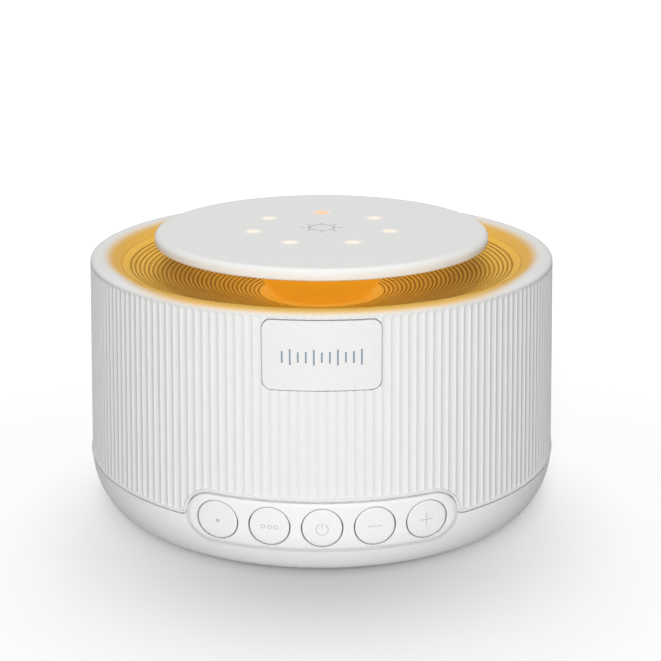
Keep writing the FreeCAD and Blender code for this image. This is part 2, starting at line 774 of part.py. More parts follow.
def make_switches():
    side = size("switch_side")
    deep = size("switch_depth")
    middle = -(size("key_board_front") + deep * 0.5)
    bodies = []
    for x in button_places():
        case = block("switch_case", side, deep, side, (x, middle, POD_LEVEL - side * 0.5))
        socket = rod("switch_socket", size("plunger_radius") + size("plunger_gap"),
                     size("plunger_length") - size("switch_reach") + size("button_travel") + 0.3,
                     (x, -switch_front(), POD_LEVEL), along_y=True)
        bodies.append(cut("switch", case, [socket]))
    return group("key_switches", bodies)


def make_button_board():
    thick = size("key_board_thickness")
    middle = -(size("key_board_front") - thick * 0.5)
    return block("button_board", size("key_board_half_width") * 2.0, thick, size("key_board_height"),
                 (0, middle, POD_LEVEL - size("key_board_height") * 0.5))


def make_name_plate():
    band = drum_band("plate_band", size("plate_proud"), size("plate_thickness") - size("plate_proud"),
                     SEAM, FLUTE_TOP)
    return overlap("front_plate", [plate_bar("plate_bar", 0.0), band])


def make_baffle():
    outer = INNER_TOP_RADIUS - size("baffle_gap")
    ring = turned("baffle_ring", [
        (size("speaker_opening") + 0.5, BAFFLE_BOTTOM), (outer, BAFFLE_BOTTOM),
        (outer, BAFFLE_TOP), (size("speaker_opening") + 0.5, BAFFLE_TOP)])
    cuts = []
    for angle in QUARTER_ANGLES:
        notch = size("case_boss_radius") + size("baffle_gap")
        x, y = on_ring(size("case_boss_ring"), angle)
        cuts.append(rod("boss_notch", notch, size("baffle_thickness") + 2.0, (x, y, BAFFLE_BOTTOM - 1.0)))
        x, y = on_ring(size("case_boss_ring") + notch, angle)
        cuts.append(rod("boss_notch_mouth", notch, size("baffle_thickness") + 2.0, (x, y, BAFFLE_BOTTOM - 1.0)))
    hole = size("small_screw_radius") + size("screw_gap")
    for angle in BAFFLE_BOSS_ANGLES:
        x, y = on_ring(size("baffle_boss_ring"), angle)
        cuts.append(six_sided("baffle_hole", hole, size("baffle_thickness") + 2.0, (x, y, BAFFLE_BOTTOM - 1.0)))
    for angle in SPEAKER_SCREW_ANGLES:
        x, y = on_ring(size("speaker_screw_ring"), angle)
        cuts.append(six_sided("speaker_thread", hole, size("baffle_thickness"), (x, y, BAFFLE_BOTTOM)))
    return cut("speaker_baffle", ring, cuts)


def speaker_ring_holes(low, tall):
    hole = size("small_screw_radius") + size("screw_gap")
    return [six_sided("speaker_hole", hole, tall, (*on_ring(size("speaker_screw_ring"), angle), low))
            for angle in SPEAKER_SCREW_ANGLES]


def make_gasket():
    ring = turned("gasket_ring", [
        (size("speaker_opening"), FLANGE_TOP), (size("speaker_radius"), FLANGE_TOP),
        (size("speaker_radius"), BAFFLE_BOTTOM), (size("speaker_opening"), BAFFLE_BOTTOM)])
    return cut("speaker_gasket", ring, speaker_ring_holes(FLANGE_TOP - 1.0, size("gasket_thickness") + 2.0))


def make_speaker_frame():
    """The pressed basket: a flange, a tapered wall with four windows, and a plate for the magnet."""
    wall = size("speaker_wall")
    opening = size("speaker_opening")
    throat = size("speaker_throat")
    basket = turned("basket_form", [
        (opening, FLANGE_TOP), (opening, FLANGE_TOP - size("surround_height") * 1.5),
        (throat - wall, BASKET_BOTTOM + wall), (coil_hole(), BASKET_BOTTOM + wall),
        (coil_hole(), BASKET_BOTTOM), (throat, BASKET_BOTTOM),
        (opening + wall, FLANGE_BOTTOM), (size("speaker_radius"), FLANGE_BOTTOM),
        (size("speaker_radius"), FLANGE_TOP)])
    windows = []
    for angle in QUARTER_ANGLES:
        window = doc.addObject("Part::Box", "basket_window")
        bind(window, "Length", size("speaker_radius"))
        bind(window, "Width", throat * 0.9)
        bind(window, "Height", size("speaker_depth") * 0.45)
        half = throat * 0.45
        sideways = half * math.sin(math.radians(angle)), half * -math.cos(math.radians(angle))
        place(window, (sideways[0], sideways[1], BASKET_BOTTOM + size("speaker_depth") * 0.25),
              FreeCAD.Rotation(FreeCAD.Vector(0, 0, 1), angle))
        windows.append(window)
    return cut("speaker_frame", basket,
               windows + speaker_ring_holes(FLANGE_BOTTOM - 1.0, size("speaker_flange") + 2.0))


def coil_hole():
    return size("coil_radius") + size("coil_wall") + size("coil_clearance")


def make_magnet():
    outer = size("magnet_radius")
    yoke = 2.0
    return turned("speaker_magnet", [
        (0, MAGNET_BOTTOM), (outer, MAGNET_BOTTOM), (outer, BASKET_BOTTOM), (coil_hole(), BASKET_BOTTOM),
        (coil_hole(), MAGNET_BOTTOM + yoke), (size("pole_radius"), MAGNET_BOTTOM + yoke),
        (size("pole_radius"), BASKET_BOTTOM), (0, BASKET_BOTTOM)])


def cone_edge():
    return size("speaker_opening") - size("surround_width")


def make_cone():
    wall = size("cone_wall")
    neck = size("coil_radius") + size("coil_wall")
    low = BASKET_BOTTOM + size("speaker_depth") * 0.35
    high = FLANGE_TOP - size("surround_height")
    return turned("speaker_cone", [
        (neck, low), (cone_edge(), high), (cone_edge(), high + wall), (neck, low + wall * 1.6)])


def make_dust_cap():
    neck = size("coil_radius")
    low = BASKET_BOTTOM + size("speaker_depth") * 0.35 + size("cone_wall") * 1.6
    rim = neck + size("coil_wall")
    return turned("dust_cap", [(0, low), (rim, low), (rim * 0.6, low + 1.4), (0, low + 1.8)])


def make_coil():
    inner = size("coil_radius")
    top = BASKET_BOTTOM + size("speaker_depth") * 0.35 + size("cone_wall") * 1.6
    return turned("voice_coil", [
        (inner, top - size("coil_length") - 2.0), (inner + size("coil_wall"), top - size("coil_length") - 2.0),
        (inner + size("coil_wall"), top), (inner, top)])


def make_surround():
    """The rubber roll between the cone's edge and the basket's flange."""
    inner = cone_edge()
    outer = size("speaker_opening")
    low = FLANGE_TOP - size("surround_height") + size("cone_wall")
    roll = size("surround_width") * 0.34
    middle = (inner + outer) * 0.5
    wall = 0.5
    crown = low + size("surround_height") * 0.5
    return turned("speaker_surround", [
        (inner - 1.0, low), (middle - roll, low), (middle - roll * 0.5, crown), (middle + roll * 0.5, crown),
        (middle + roll, low), (outer, low), (outer, low + wall), (middle + roll, low + wall),
        (middle + roll * 0.5, crown + wall), (middle - roll * 0.5, crown + wall),
        (middle - roll, low + wall), (inner - 1.0, low + wall)])


def make_main_board():
    half = size("main_board_half_width")
    tab = size("main_board_tab_width") * 0.5
    front, back = size("main_board_front"), size("main_board_back")
    body = padded("main_board_blank", "XY_Plane", [
        (-half, front), (half, front), (half, back), (tab, back), (tab, size("main_board_tab_back")),
        (-tab, size("main_board_tab_back")), (-tab, back), (-half, back)],
        size("main_board_thickness"), MAIN_BOARD_BOTTOM)
    holes = [six_sided("board_hole", size("small_screw_radius") + size("screw_gap"),
                 size("main_board_thickness") + 2.0, (x, y, MAIN_BOARD_BOTTOM - 1.0))
             for x, y in board_post_places()]
    return cut("main_board", body, holes)


def make_board_parts():
    """Sound chip, amplifier, memory, two capacitors and two lead sockets on the main board."""
    level = MAIN_BOARD_TOP
    chips = [("sound_chip", 10.0, 10.0, 1.4, (-6.0, 8.0)), ("amplifier", 6.0, 5.0, 1.4, (9.0, 4.0)),
             ("memory", 5.0, 4.0, 1.2, (-8.0, -5.0)), ("lead_socket", 7.5, 4.0, 4.5, (15.0, 28.0)),
             ("key_socket", 9.0, 4.0, 4.5, (-2.0, -10.0))]
    parts = [block(name, across, deep, tall, (as_size(at[0]), as_size(at[1]), level))
             for name, across, deep, tall, at in chips]
    parts += [rod("capacitor", 3.2, 6.5, (x, 33.0, level)) for x in (-16.0, -8.0)]
    return group("board_parts", parts)


def make_power_inlet():
    start = size("main_board_tab_back") + size("inlet_overhang") - size("inlet_length")
    case = inlet_slot("inlet_case", 0.0, size("inlet_length"), start)
    mouth = inlet_slot("inlet_mouth", -0.35, size("inlet_length") - 1.2, start + 1.2)
    middle = size("inlet_height") * 0.5
    tongue = block("inlet_tongue", size("inlet_width") * 0.72, size("inlet_length") - 1.8, 0.7,
                   (as_size(0.0), start + size("inlet_length") * 0.5 - 0.3, MAIN_BOARD_TOP + middle - 0.35))
    return join("power_inlet", [cut("inlet_shell", case, [mouth]), tongue])


def make_feet():
    feet = [rod("foot", size("foot_radius"), size("foot_thickness"),
                (*on_ring(size("case_boss_ring"), angle), 0.0)) for angle in QUARTER_ANGLES]
    return group("rubber_feet", feet)


def screw(radius, length, head, head_height, at, head_low):
    """A shank with a pan head, the head below the shank or above it."""
    x, y, low = at
    shank = six_sided("screw_shank", radius, length, (x, y, low))
    head_level = low - head_height if head_low else low + length
    cap = six_sided("screw_head", head, head_height, (x, y, head_level))
    return join("screw", [shank, cap])


def make_case_screws():
    head_rest = BASE_BOTTOM + foot_sink() + size("case_head_depth")
    length = size("case_boss_foot") - head_rest + size("case_screw_reach") - 1.0
    return group("case_screws", [
        screw(size("case_screw_radius"), length, size("case_screw_head"), size("case_screw_head_height"),
              (*on_ring(size("case_boss_ring"), angle), head_rest), True) for angle in QUARTER_ANGLES])


def small_screw(at, length, head_low):
    return screw(size("small_screw_radius"), length, size("small_screw_head"),
                 size("small_screw_head_height"), at, head_low)


def make_baffle_screws():
    length = size("baffle_thickness") + size("small_screw_reach") - 0.5
    return group("baffle_screws", [
        small_screw((*on_ring(size("baffle_boss_ring"), angle), BAFFLE_BOTTOM), length, True)
        for angle in BAFFLE_BOSS_ANGLES])


def make_speaker_screws():
    length = size("speaker_flange") + size("gasket_thickness") + size("baffle_thickness") - 0.4
    return group("speaker_screws", [
        small_screw((*on_ring(size("speaker_screw_ring"), angle), FLANGE_BOTTOM), length, True)
        for angle in SPEAKER_SCREW_ANGLES])


def make_board_screws():
    length = size("main_board_thickness") + size("main_board_lift") - 0.3
    return group("board_screws", [
        small_screw((x, y, MAIN_BOARD_TOP - length), length, False) for x, y in board_post_places()])


PARTS = {
    "main_shell": make_main_shell(),
    "base_shell": make_base_shell(),
    "front_plate": make_name_plate(),
    "dish_grille": make_dish_grille(),
    "light_column": make_light_column(),
    "lamp_board": make_lamp_board(),
    "lamp_leds": make_lamp_leds(),
    "top_disc": make_top_disc(),
    "disc_tray": make_disc_tray(),
    "touch_board": make_touch_board(),
    "indicator_leds": make_indicator_leds(),
    "speaker_baffle": make_baffle(),
    "speaker_gasket": make_gasket(),
    "speaker_frame": make_speaker_frame(),
    "speaker_magnet": make_magnet(),
    "speaker_cone": make_cone(),
    "dust_cap": make_dust_cap(),
    "voice_coil": make_coil(),
    "speaker_surround": make_surround(),
    "main_board": make_main_board(),
    "board_parts": make_board_parts(),
    "power_inlet": make_power_inlet(),
    "button_board": make_button_board(),
    "key_switches": make_switches(),
    "rubber_feet": make_feet(),
    "case_screws": make_case_screws(),
    "baffle_screws": make_baffle_screws(),
    "speaker_screws": make_speaker_screws(),
    "board_screws": make_board_screws(),
}
for number, name in enumerate(BUTTON_NAMES):
    PARTS[f"button_{name}"] = make_button(number, name)
    PARTS[f"switch_plunger_{name}"] = make_plunger(number, name)

doc.recompute()

faults = [item.Name for item in doc.Objects if {"Invalid", "Error"} & set(item.State)]
for node, item in PARTS.items():
    item.Label = node
    if item.Shape.isNull() or not item.Shape.isValid() or not item.Shape.Solids:
        faults.append(node)
if faults:
    raise RuntimeError("failed: " + ", ".join(faults))

os.makedirs("parts", exist_ok=True)
for node, item in PARTS.items():
    item.Shape.exportStep(f"parts/{node}.step")
    print(f"{node}: {len(item.Shape.Solids)} solids, {item.Shape.Volume:.1f} mm3")
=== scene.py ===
import math

import bmesh
import bpy
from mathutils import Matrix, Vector


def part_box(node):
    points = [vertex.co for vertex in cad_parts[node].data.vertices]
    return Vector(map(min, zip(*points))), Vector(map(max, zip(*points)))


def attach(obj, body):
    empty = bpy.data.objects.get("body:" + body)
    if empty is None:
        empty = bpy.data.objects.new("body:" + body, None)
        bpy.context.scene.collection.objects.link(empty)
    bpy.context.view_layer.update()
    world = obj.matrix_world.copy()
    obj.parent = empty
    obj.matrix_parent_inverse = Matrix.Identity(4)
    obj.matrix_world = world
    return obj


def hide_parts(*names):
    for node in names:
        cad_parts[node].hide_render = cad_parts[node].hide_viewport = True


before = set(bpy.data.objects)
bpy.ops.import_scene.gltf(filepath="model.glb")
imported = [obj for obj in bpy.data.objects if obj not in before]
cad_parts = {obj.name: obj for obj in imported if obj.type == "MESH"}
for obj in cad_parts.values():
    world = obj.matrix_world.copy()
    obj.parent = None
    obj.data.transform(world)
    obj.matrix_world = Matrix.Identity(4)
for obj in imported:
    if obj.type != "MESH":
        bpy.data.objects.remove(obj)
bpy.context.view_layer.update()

# White noise sound machine, seen a little from above, on a pale floor. Lengths below are in
# millimetres and become metres when a mesh is made. The front faces -Y.
MM = 0.001

# the distance within which doubled points are joined, and the height of the grain, in metres
JOIN = 1e-7
RELIEF = 0.0002


def box_mm(node):
    low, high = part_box(node)
    return low / MM, high / MM


DISC_LOW, DISC_HIGH = box_mm("top_disc")
BASE_LOW = box_mm("base_shell")[0]
PLATE_LOW, PLATE_HIGH = box_mm("front_plate")
DISH_LOW, DISH_HIGH = box_mm("dish_grille")
COLUMN_LOW, COLUMN_HIGH = box_mm("light_column")

# drum
DRUM_RADIUS = 58.0
DRAFT = 1.62
SEAM = 13.0
WALL = 2.36
FLUTE_TOP = 62.5
FLUTE_COUNT = 180
FLUTE_STEPS = 10
FLUTE_DEPTH = 0.25
FLUTE_LEVELS = (21.0, 34.0, 48.0)
RUNOUT = 1.1
RUNOUT_STEPS = 8
COLUMNS = FLUTE_COUNT * FLUTE_STEPS

# rim, and the seat that carries the dish
CREST_RADIUS = 56.1
CREST = 63.68
CREST_STEPS = 8
SLOPE_PULLS = ((54.4, CREST), (52.6, 62.9))
SLOPE_STEPS = 10
SEAT_RADIUS = 47.3
SEAT_RISE = 8.4
SEAT_WALL = 1.8
SEAT = DISH_LOW.z + SEAT_RISE
SEAT_UNDERSIDE = SEAT - SEAT_WALL
DISH_GAP = 0.1

# bead
BEAD_WIDTH = 0.78
BEAD_PROUD = 0.26
BEAD_SINK = 0.45
BEAD_SIDES = 8
BEAD_REACH = 40.0
BEAD_FRONT_STEPS = 800
BEAD_BACK_STEPS = 360
BEAD_FEEL = 0.01

# front plate and the bars printed on it
PLATE_GAP = 0.24
PLATE_DEPTH = 1.2
PLATE_PROUD = 0.12
PLATE_CORNER = 2.0
PLATE_EDGE = 0.15
POCKET_DEPTH = 1.35
POCKET_REACH = 3.0
CORNER_STEPS = 10
FLAT_STEPS = 16
PLATE_LIFT = 0.025
BAR_COUNT = 11
BAR_PITCH = 1.75
BAR_WIDTH = 0.42
BAR_DROP = 0.3
BAR_SHORT = 0.7
BAR_SWING = 1.1
BAR_WAVE = 1.05
BAR_PHASE = 0.6

# base and pod
GAP = 0.3
FLOOR_TOP = 3.1
FLOOR_RADIUS = 50.0
SIDE_ARC = 17.0
CORNER_ARC = 4.5
CORNER_SHARE = 0.8
CORNER_JOIN = 0.6
POD_RADIUS = -BASE_LOW.y
POD_LEVEL = 13.6
POD_HALF = 5.8
POD_END = 25.2
POD_PROUD = 0.55
POD_FOOT = 6.4
FILLET = 1.4
SOFT_OUT = 0.9
SOFT_IN = 0.9
GROOVE = 0.8
TONGUE_RADIUS = 56.96
TONGUE_WALL = 1.6
TONGUE_RISE = 2.4
TONGUE_FOOT = 8.0
POD_ROWS = 48
FOOT_ROWS = 12
BORE_ENDS = (-70.0, -50.0)
SLOT_ENDS = (50.0, 70.0)
SLOT_GAP = 0.15
SLOT_STEPS = 24

# dish
DISH_RADIUS = DISH_HIGH.x
DISH_EDGE = DISH_HIGH.z
DISH_FOOT = COLUMN_LOW.z
DISH_FLAT = 15.0
DISH_BOW = 0.8
DISH_WALL = 1.6
DISH_LIFT = 0.02
DISH_BORE = 4.5
MARGIN_STEPS = 4
HOLE_PITCH = 1.1
HOLE_RADIUS = 0.35
HOLE_DEPTH = 0.8
HOLE_SIDES = 8
HOLE_INNER = 15.6
HOLE_MARGIN = 0.9
HOLE_OUTER = DISH_RADIUS - HOLE_MARGIN

# light guide
GUIDE_BORE = 10.0
GUIDE_FOOT = 12.4
FLARE = 7.0
FLARE_START = (1.0, 1.6)
FLARE_END = (0.2, 3.2)
FLARE_STEPS = 12

# disc and its marks
DISC_RADIUS = DISC_HIGH.x
DISC_SINK = 0.03
DISC_FACE = DISC_HIGH.z - DISC_SINK
DISC_SHEET = 1.4
DISC_WALL = 1.7
DISC_EDGE = 1.6
DISC_LIP = 0.6
DISC_RINGS = (30.0, 15.0, 0.0)
INDICATORS = 7
INDICATOR_RING = 17.5
SUN_RADIUS = 3.2
SUN_STEPS = 64
SUN_RAYS = 8
RAY_ENDS = (4.2, 5.3)
MARK = 0.34
PRINT_LIFT = 0.015

# buttons
BUTTONS = ("dot", "mode", "power", "minus", "plus")
BUTTON_SIDES = 96
CAP_RADIUS = 4.53
CAP_GAP = 0.27
CAP_SINK = 0.03
CAP_BEVEL = 0.22
CAP_RINGS = 6
FLANGE_RADIUS = 5.1
FLANGE_FRONT = -46.8
FLANGE_WALL = 0.8
FLANGE_BACK = FLANGE_FRONT + FLANGE_WALL
STEM_RADIUS = 1.8
SYMBOL_WIDTH = 0.2
SYMBOL_HALF = 1.6
SYMBOL_STEPS = 10
DOT_LEVEL = -0.2
DOT_RINGS = (0.34, 0.14)
MODE_LEVEL = -0.1
MODE_PITCH = 1.45
MODE_RING = 0.42
POWER_LEVEL = -0.3
POWER_RING = 1.35
POWER_TURNS = (115.0, 425.0)
POWER_BAR = (-0.2, 1.4)

# camera, from the photograph's own perspective
CAMERA_PLACE = (0.0, -366.07, 153.75)
CAMERA_PITCH = 17.017
CAMERA_YAW = 0.351
CAMERA_LENS = 80.91
SENSOR = 36.0

# soft lights: name, place, target, size and power, in metres and watts
SOFT_LIGHTS = (
    ("key", (-0.06, -1.25, 0.85), (0.0, 0.0, 0.03), 0.50, 11.2),
    ("front fill", (0.0, -1.3, 0.14), (0.0, 0.0, 0.02), 0.30, 7.0),
    ("top", (0.0, 0.35, 1.4), (0.0, 0.0, 0.0), 0.8, 10.2),
    ("back fill", (0.0, 1.3, 0.14), (0.0, 0.0, 0.02), 0.30, 3.0),
)
# lights that no glossy surface mirrors
UNMIRRORED = ("back fill",)
AMBIENT = 0.06
LAMP_COUNT = 10
LAMP_RING = 22.0
LAMP_LEVEL = 62.3
LAMP_SIZE = 2.5
LAMP_POWER = 0.0005
FLOOR_HALF = 4000.0

# the floor's brightness with a painted shadow: at its least, then what the near and the far ramp add,
# each over a distance from a middle point in front of the axis, and a painted contact shadow under the
# object
FLOOR_LEAST = 0.215
FLOOR_NEAR = 0.45
FLOOR_FAR = 0.42
NEAR_REACH = (-20.0, 95.0)
FAR_REACH = (90.0, 420.0)
FLOOR_SHADOW_AHEAD = 45.0
FLOOR_SHADOW_STRETCH = 0.9
CONTACT_SHADOW_REACH = (48.0, 60.0)
CONTACT_SHADOW_DEPTH = 0.5

# the lamp's light on the shell: its fading edge, further out in front, and where it ends
SPILL_EDGE = (55.4, 52.0)
SPILL_SHIFT = 4.4
SPILL_FRONT = (-20.0, -52.0)
SPILL_WALL = (54.5, 53.5)
SPILL_CREST = (FLUTE_TOP - 0.2, FLUTE_TOP + 0.9)
SPILL_BOTTOM = (SEAT_UNDERSIDE + 1.0, SEAT_UNDERSIDE + 2.0)
SPILL_GLOW = 0.08

# the lamp's light on the dish: at its least, towards the back, and by the guide
DISH_GLOW = 0.03
BACK_GLOW = 0.21
BACK_REACH = (-46.0, 12.0)
NEAR_GLOW = 0.30
NEAR_RADII = (23.0, 13.0)
GUIDE_LEVEL = 0.53
GUIDE_RISE = 0.1
GUIDE_FADE = 6.0

# the points of light in the disc, as distances from a point's middle, and the rear one's place
CORE_REACH = (2.3, 1.2)
CORE_GLOW = 0.16
HALO_REACH = (3.4, 0.8)
HALO_GLOW = 0.10
POINT_SHARE = 0.75
POINT_DEPTH = (DISC_FACE - 0.4, DISC_FACE - 0.2)
REAR_Y = (12.0, 13.0)
REAR_X = (6.0, 5.0)
REAR_BOOST = 0.9

# colours
WHITE = (0.80, 0.80, 0.79)
# the dish's base colour: the lamp's amber light painted in
DISH_LIT_AMBER = (0.62, 0.365, 0.052)
SPILL = (0.70, 0.42, 0.09)
GLOW = (0.72, 0.42, 0.05)
GUIDE_GLOW = (1.0, 0.40, 0.02)
LAMP_LIGHT = (1.0, 0.85, 0.45)
POINT_LIGHT = (1.0, 0.80, 0.58)
REAR_LIGHT = (1.0, 0.34, 0.05)
# base colours where the points of light shine through the disc: painted light
POINT_LIT_TINT = (0.86, 0.78, 0.66)
REAR_LIT_TINT = (0.80, 0.42, 0.12)


def smooth_step(value):
    value = min(max(value, 0.0), 1.0)
    return value * value * (3.0 - 2.0 * value)


def cusp_radius(height):
    return DRUM_RADIUS + DRAFT * (FLUTE_TOP - height) / (FLUTE_TOP - SEAM)


def around(radius, angle, height):
    """A point at an angle from the front, measured about the axis."""
    return radius * math.sin(angle), -radius * math.cos(angle), height


def on_front(radius, x, z):
    """The point at x and z on the front of an upright cylinder about the axis."""
    return x, -math.sqrt(radius ** 2 - x ** 2), z


def full_turn(count):
    return [2.0 * math.pi * number / count for number in range(count)]


def circle_row(radius, height, angles):
    return [around(radius, angle, height) for angle in angles]


# Meshes


def raw_object(name, points, faces):
    mesh = bpy.data.meshes.new(name)
    mesh.from_pydata([Vector(point) * MM for point in points], [], faces)
    obj = bpy.data.objects.new(name, mesh)
    bpy.context.scene.collection.objects.link(obj)
    return obj


def clean(obj, crease=32.0):
    """Joins doubled points, turns the faces outward and shades smoothly up to the crease angle."""
    bm = bmesh.new()
    bm.from_mesh(obj.data)
    bmesh.ops.remove_doubles(bm, verts=bm.verts, dist=JOIN)
    bmesh.ops.recalc_face_normals(bm, faces=bm.faces)
    bm.to_mesh(obj.data)
    bm.free()
    obj.data.polygons.foreach_set("use_smooth", [True] * len(obj.data.polygons))
    obj.data.set_sharp_from_angle(angle=math.radians(crease))
    return obj


def piece(obj, look, body="housing", stands_for=(), crease=32.0):
    clean(obj, crease)
    obj.data.materials.clear()
    obj.data.materials.append(look)
    if stands_for:
        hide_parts(*stands_for)
    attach(obj, body)
    return obj


def ring_faces(rows, columns, wrap):
    faces = []
    for row in range(rows if wrap else rows - 1):
        after = (row + 1) % rows
        for column in range(columns):
            beside = (column + 1) % columns
            faces.append((row * columns + column, row * columns + beside,
                          after * columns + beside, after * columns + column))
    return faces


def ring_object(name, rows, wrap=False):
    """Rows of points, each row a closed loop, joined by quads. Wrapped, the last row joins the first."""
    points = [point for row in rows for point in row]
    return raw_object(name, points, ring_faces(len(rows), len(rows[0]), wrap))


def lathe(name, profile, segments=256, wrap=False):
    angles = full_turn(segments)
    return ring_object(name, [circle_row(radius, height, angles) for radius, height in profile], wrap)


def arc(centre, radius, first, last, steps):
    angles = [math.radians(first + (last - first) * step / steps) for step in range(steps + 1)]
    return [(centre[0] + radius * math.cos(angle), centre[1] + radius * math.sin(angle))
            for angle in angles]


def bezier(start, pull_start, pull_end, end, steps):
    points = []
    for step in range(1, steps + 1):
        t = step / steps
        u = 1.0 - t
        weights = (u ** 3, 3 * u * u * t, 3 * u * t * t, t ** 3)
        points.append(tuple(sum(weight * corner[axis] for weight, corner in
                                zip(weights, (start, pull_start, pull_end, end))) for axis in (0, 1)))
    return points


def carve(obj, cutter):
    """Cuts one closed mesh out of another and keeps the result as the mesh itself."""
    clean(obj)
    clean(cutter)
    modifier = obj.modifiers.new("carve", "BOOLEAN")
    modifier.operation = "DIFFERENCE"
    modifier.solver = "EXACT"
    modifier.object = cutter
    shown = obj.evaluated_get(bpy.context.evaluated_depsgraph_get())
    carved = bpy.data.meshes.new_from_object(shown)
    obj.modifiers.clear()
    obj.data = carved
    bpy.data.objects.remove(cutter)
    return obj


def stroke(points, faces, line, width, lay, closed):
    """A flat band of even width along a line of (across, up) points, laid on a surface."""
    start = len(points)
    count = len(line)
    for number, (x, z) in enumerate(line):
        before = line[number - 1] if number or closed else line[number]
        after = line[(number + 1) % count] if number < count - 1 or closed else line[number]
        along = Vector((after[0] - before[0], after[1] - before[1])).normalized()
        side = Vector((-along.y, along.x)) * width * 0.5
        points.append(lay(x + side.x, z + side.y))
        points.append(lay(x - side.x, z - side.y))
    for number in range(count if closed else count - 1):
        a = start + 2 * number
        b = start + 2 * ((number + 1) % count)
        faces.append((a, a + 1, b + 1, b))


def print_mark(name, lines, width, lay, look, body="housing"):
    """A printed mark, from pairs of a line and whether it is closed."""
    points = []
    faces = []
    for line, closed in lines:
        stroke(points, faces, line, width, lay, closed)
    piece(raw_object(name, points, faces), look, body)


# Materials


def add_node(tree, kind, **values):
    node = tree.nodes.new(kind)
    for name, value in values.items():
        setattr(node, name, value)
    return node


def feed(tree, socket, value):
    if hasattr(value, "is_output"):
        tree.links.new(value, socket)
    else:
        socket.default_value = value


def calc(tree, operation, *values):
    node = add_node(tree, "ShaderNodeMath", operation=operation)
    for number, value in enumerate(values):
        feed(tree, node.inputs[number], value)
    return node.outputs[0]


def length_of(tree, across, up):
    square = calc(tree, "ADD", calc(tree, "MULTIPLY", across, across), calc(tree, "MULTIPLY", up, up))
    return calc(tree, "SQRT", square)


def scale_add(tree, value, factor, start):
    """start + factor * value"""
    return calc(tree, "ADD", start, calc(tree, "MULTIPLY", value, factor))


def ramp(tree, value, start, end):
    """0 at start and 1 at end, with a smooth turn between."""
    node = add_node(tree, "ShaderNodeMapRange", interpolation_type="SMOOTHSTEP")
    feed(tree, node.inputs["Value"], value)
    node.inputs["From Min"].default_value = start
    node.inputs["From Max"].default_value = end
    return node.outputs["Result"]


def blend_colour(tree, share, first, second):
    node = add_node(tree, "ShaderNodeMix", data_type="RGBA")
    feed(tree, node.inputs[0], share)
    feed(tree, node.inputs[6], first)
    feed(tree, node.inputs[7], second)
    return node.outputs[2]


def colour4(colour):
    return (*colour, 1.0)


def shade(colour, factor):
    return colour4([channel * factor for channel in colour])


def material(name, colour, roughness=0.5, grain=900.0, bump=0.04, metallic=0.0, spread=0.03,
             gloss=0.12):
    """A moulded or pressed surface: fine grain in the colour and in the relief."""
    look = bpy.data.materials.new(name)
    look.use_nodes = True
    tree = look.node_tree
    shader = tree.nodes["Principled BSDF"]
    coords = add_node(tree, "ShaderNodeTexCoord")
    noise = add_node(tree, "ShaderNodeTexNoise")
    noise.inputs["Scale"].default_value = grain
    noise.inputs["Detail"].default_value = 3.0
    tree.links.new(coords.outputs["Object"], noise.inputs["Vector"])
    pale, deep = shade(colour, 1.0 + spread), shade(colour, 1.0 - spread)
    tree.links.new(blend_colour(tree, noise.outputs["Fac"], deep, pale), shader.inputs["Base Color"])
    relief = add_node(tree, "ShaderNodeBump")
    relief.inputs["Strength"].default_value = bump
    relief.inputs["Distance"].default_value = RELIEF
    tree.links.new(noise.outputs["Fac"], relief.inputs["Height"])
    tree.links.new(relief.outputs["Normal"], shader.inputs["Normal"])
    shader.inputs["Roughness"].default_value = roughness
    shader.inputs["Metallic"].default_value = metallic
    shader.inputs["Specular IOR Level"].default_value = gloss
    return look


def parts_of(look):
    """A material's node tree, its shader and its plain colour."""
    tree = look.node_tree
    shader = tree.nodes["Principled BSDF"]
    return tree, shader, shader.inputs["Base Color"].links[0].from_socket


def split_place(tree):
    """X, Y, Z and the distance from the axis, in millimetres."""
    coords = add_node(tree, "ShaderNodeTexCoord")
    parts = add_node(tree, "ShaderNodeSeparateXYZ")
    tree.links.new(coords.outputs["Object"], parts.inputs[0])
    x, y, z = [calc(tree, "MULTIPLY", parts.outputs[number], 1.0 / MM) for number in range(3)]
    return x, y, z, length_of(tree, x, y)


def shell_look():
    """White plastic. The lamp's light lies amber on the slope inside the rim, further out in front."""
    look = material("white shell", WHITE, 0.48, gloss=0.03)
    tree, shader, plain = parts_of(look)
    _, y, z, radius = split_place(tree)
    above = ramp(tree, z, *SPILL_BOTTOM)
    front = calc(tree, "MULTIPLY", ramp(tree, y, *SPILL_FRONT), SPILL_SHIFT)
    share = calc(tree, "MULTIPLY", ramp(tree, calc(tree, "SUBTRACT", radius, front), *SPILL_EDGE), above)
    inside = calc(tree, "MAXIMUM", ramp(tree, z, *SPILL_CREST), ramp(tree, radius, *SPILL_WALL))
    share = calc(tree, "MULTIPLY", share, inside)
    tree.links.new(blend_colour(tree, share, plain, colour4(SPILL)), shader.inputs["Base Color"])
    shader.inputs["Emission Color"].default_value = colour4(GLOW)
    tree.links.new(calc(tree, "MULTIPLY", share, SPILL_GLOW), shader.inputs["Emission Strength"])
    return look


def dish_look():
    """The dish lies in the lamp's light, painted into its amber colour and its glow, which is deeper
    towards the front and strong by the guide.
    """
    look = material("lit dish", DISH_LIT_AMBER, 0.55, spread=0.05)
    tree, shader, _ = parts_of(look)
    _, y, _, radius = split_place(tree)
    back = scale_add(tree, ramp(tree, y, *BACK_REACH), BACK_GLOW, DISH_GLOW)
    near = calc(tree, "MULTIPLY", ramp(tree, radius, *NEAR_RADII), NEAR_GLOW)
    shader.inputs["Emission Color"].default_value = colour4(GLOW)
    tree.links.new(calc(tree, "ADD", back, near), shader.inputs["Emission Strength"])
    return look


